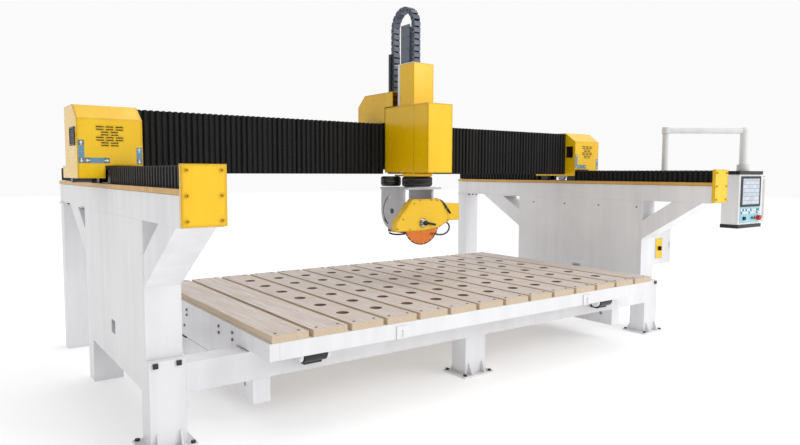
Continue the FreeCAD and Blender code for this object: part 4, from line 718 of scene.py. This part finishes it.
# Two rows of membrane keys in three colours
KEY_COLUMNS, KEY_ROWS, KEY_STEP_X, KEY_STEP_Z = 12, 2, 0.0295, 0.026
KEY_HALF_X, KEY_HALF_Z, KEY_HIGH = 0.0105, 0.009, 0.0014
keypad_low, keypad_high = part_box("pendant_keypad")
key_y = keypad_low.y - 0.0002
key_sets = {"white": [], "navy": [], "dark": []}
for row in range(KEY_ROWS):
    for col in range(KEY_COLUMNS):
        x = keypad_low.x + 0.020 + col * KEY_STEP_X
        z = keypad_high.z - KEY_STEP_Z * (row + 1)
        look = "navy" if (col + row) % 5 == 1 else "dark" if (col * 3 + row) % 7 == 2 else "white"
        key_sets[look].append(((x - KEY_HALF_X, key_y - KEY_HIGH, z - KEY_HALF_Z),
                               (x + KEY_HALF_X, key_y + 0.0002, z + KEY_HALF_Z)))
for look, material in (("white", WHITE_KEY), ("navy", NAVY_KEY), ("dark", MATERIALS["trim_plastic"])):
    piece(f"keys_{look}", *boxes(key_sets[look]), material, "pendant", "key_film", bevel=0.0007)

# ------------------------------------------------------------------ cabinet
# Thin yellow plate under the isolator switch
plate = boxes([((2.4192, 0.0290, 0.6602), (2.5228, 0.0299, 0.8498))])
piece("isolator_backplate", *plate, MATERIALS["yellow_paint"], "door", "yellow_paint", bevel=0.0003)

# ------------------------------------------------------------------ setting
# White paper sweep; its faint glow keeps it as pale as the backdrop
floor_mat, floor_tree, floor_bsdf, floor_coords = new_material(
    "pale_studio_floor", 0.85, Emission_Strength=0.26, Emission_Color=srgb("FFFFFF"))
floor_tree.links.new(mix(floor_tree, noise(floor_tree, floor_coords, 2.0, 4.0), "F6F6F6", "FAFAFA"),
                     floor_bsdf.inputs["Base Color"])
bump(floor_tree, floor_bsdf, noise(floor_tree, floor_coords, 60.0, 3.0), 0.0003)
corners = [(-40, -40, -0.001), (40, -40, -0.001), (40, 40, -0.001), (-40, 40, -0.001)]
floor = piece("floor", corners, [(0, 1, 2, 3)], floor_mat)

world = bpy.data.worlds.new("studio")
bpy.context.scene.world = world
world.use_nodes = True
sky = world.node_tree
# The backdrop's light weakens towards the left, so that the machine's left faces stay in shade
sky_way = add(sky, "VectorMath", {0: add(sky, "TexCoord").outputs["Generated"], 1: (-0.94, -0.30, 0.10)},
              operation="DOT_PRODUCT").outputs["Value"]
sky.nodes["Background"].inputs["Color"].default_value = srgb("FFFFFF")
sky.links.new(remap(sky, sky_way, 0.05, 0.75, 0.96, 0.46), sky.nodes["Background"].inputs["Strength"])


def softbox(name, place, target, size, power):
    """Square area light aimed at a point."""
    data = bpy.data.lights.new(name, "AREA")
    data.shape = "SQUARE"
    data.size = size
    data.energy = power
    lamp = bpy.data.objects.new(name, data)
    bpy.context.scene.collection.objects.link(lamp)
    lamp.location = place
    direction = (Vector(target) - Vector(place)).normalized()
    lamp.rotation_euler = direction.to_track_quat("-Z", "Y").to_euler()


softbox("key", (4.5, -7.5, 5.5), (0.0, 0.6, 1.0), 4.0, 215)
softbox("top", (0.5, 0.5, 7.0), (0.0, 0.8, 0.5), 5.0, 70)

camera_data = bpy.data.cameras.new("camera")
camera_data.lens = 28.97
camera_data.sensor_width = 36.0
camera_data.clip_end = 200.0
camera = bpy.data.objects.new("camera", camera_data)
bpy.context.scene.collection.objects.link(camera)
camera.location = (-3.167, -3.479, 1.470)
camera.rotation_euler = (math.radians(90 - 4.42), math.radians(-0.2), math.radians(-36.05))
bpy.context.scene.camera = camera
bpy.context.scene.view_settings.view_transform = "Standard"
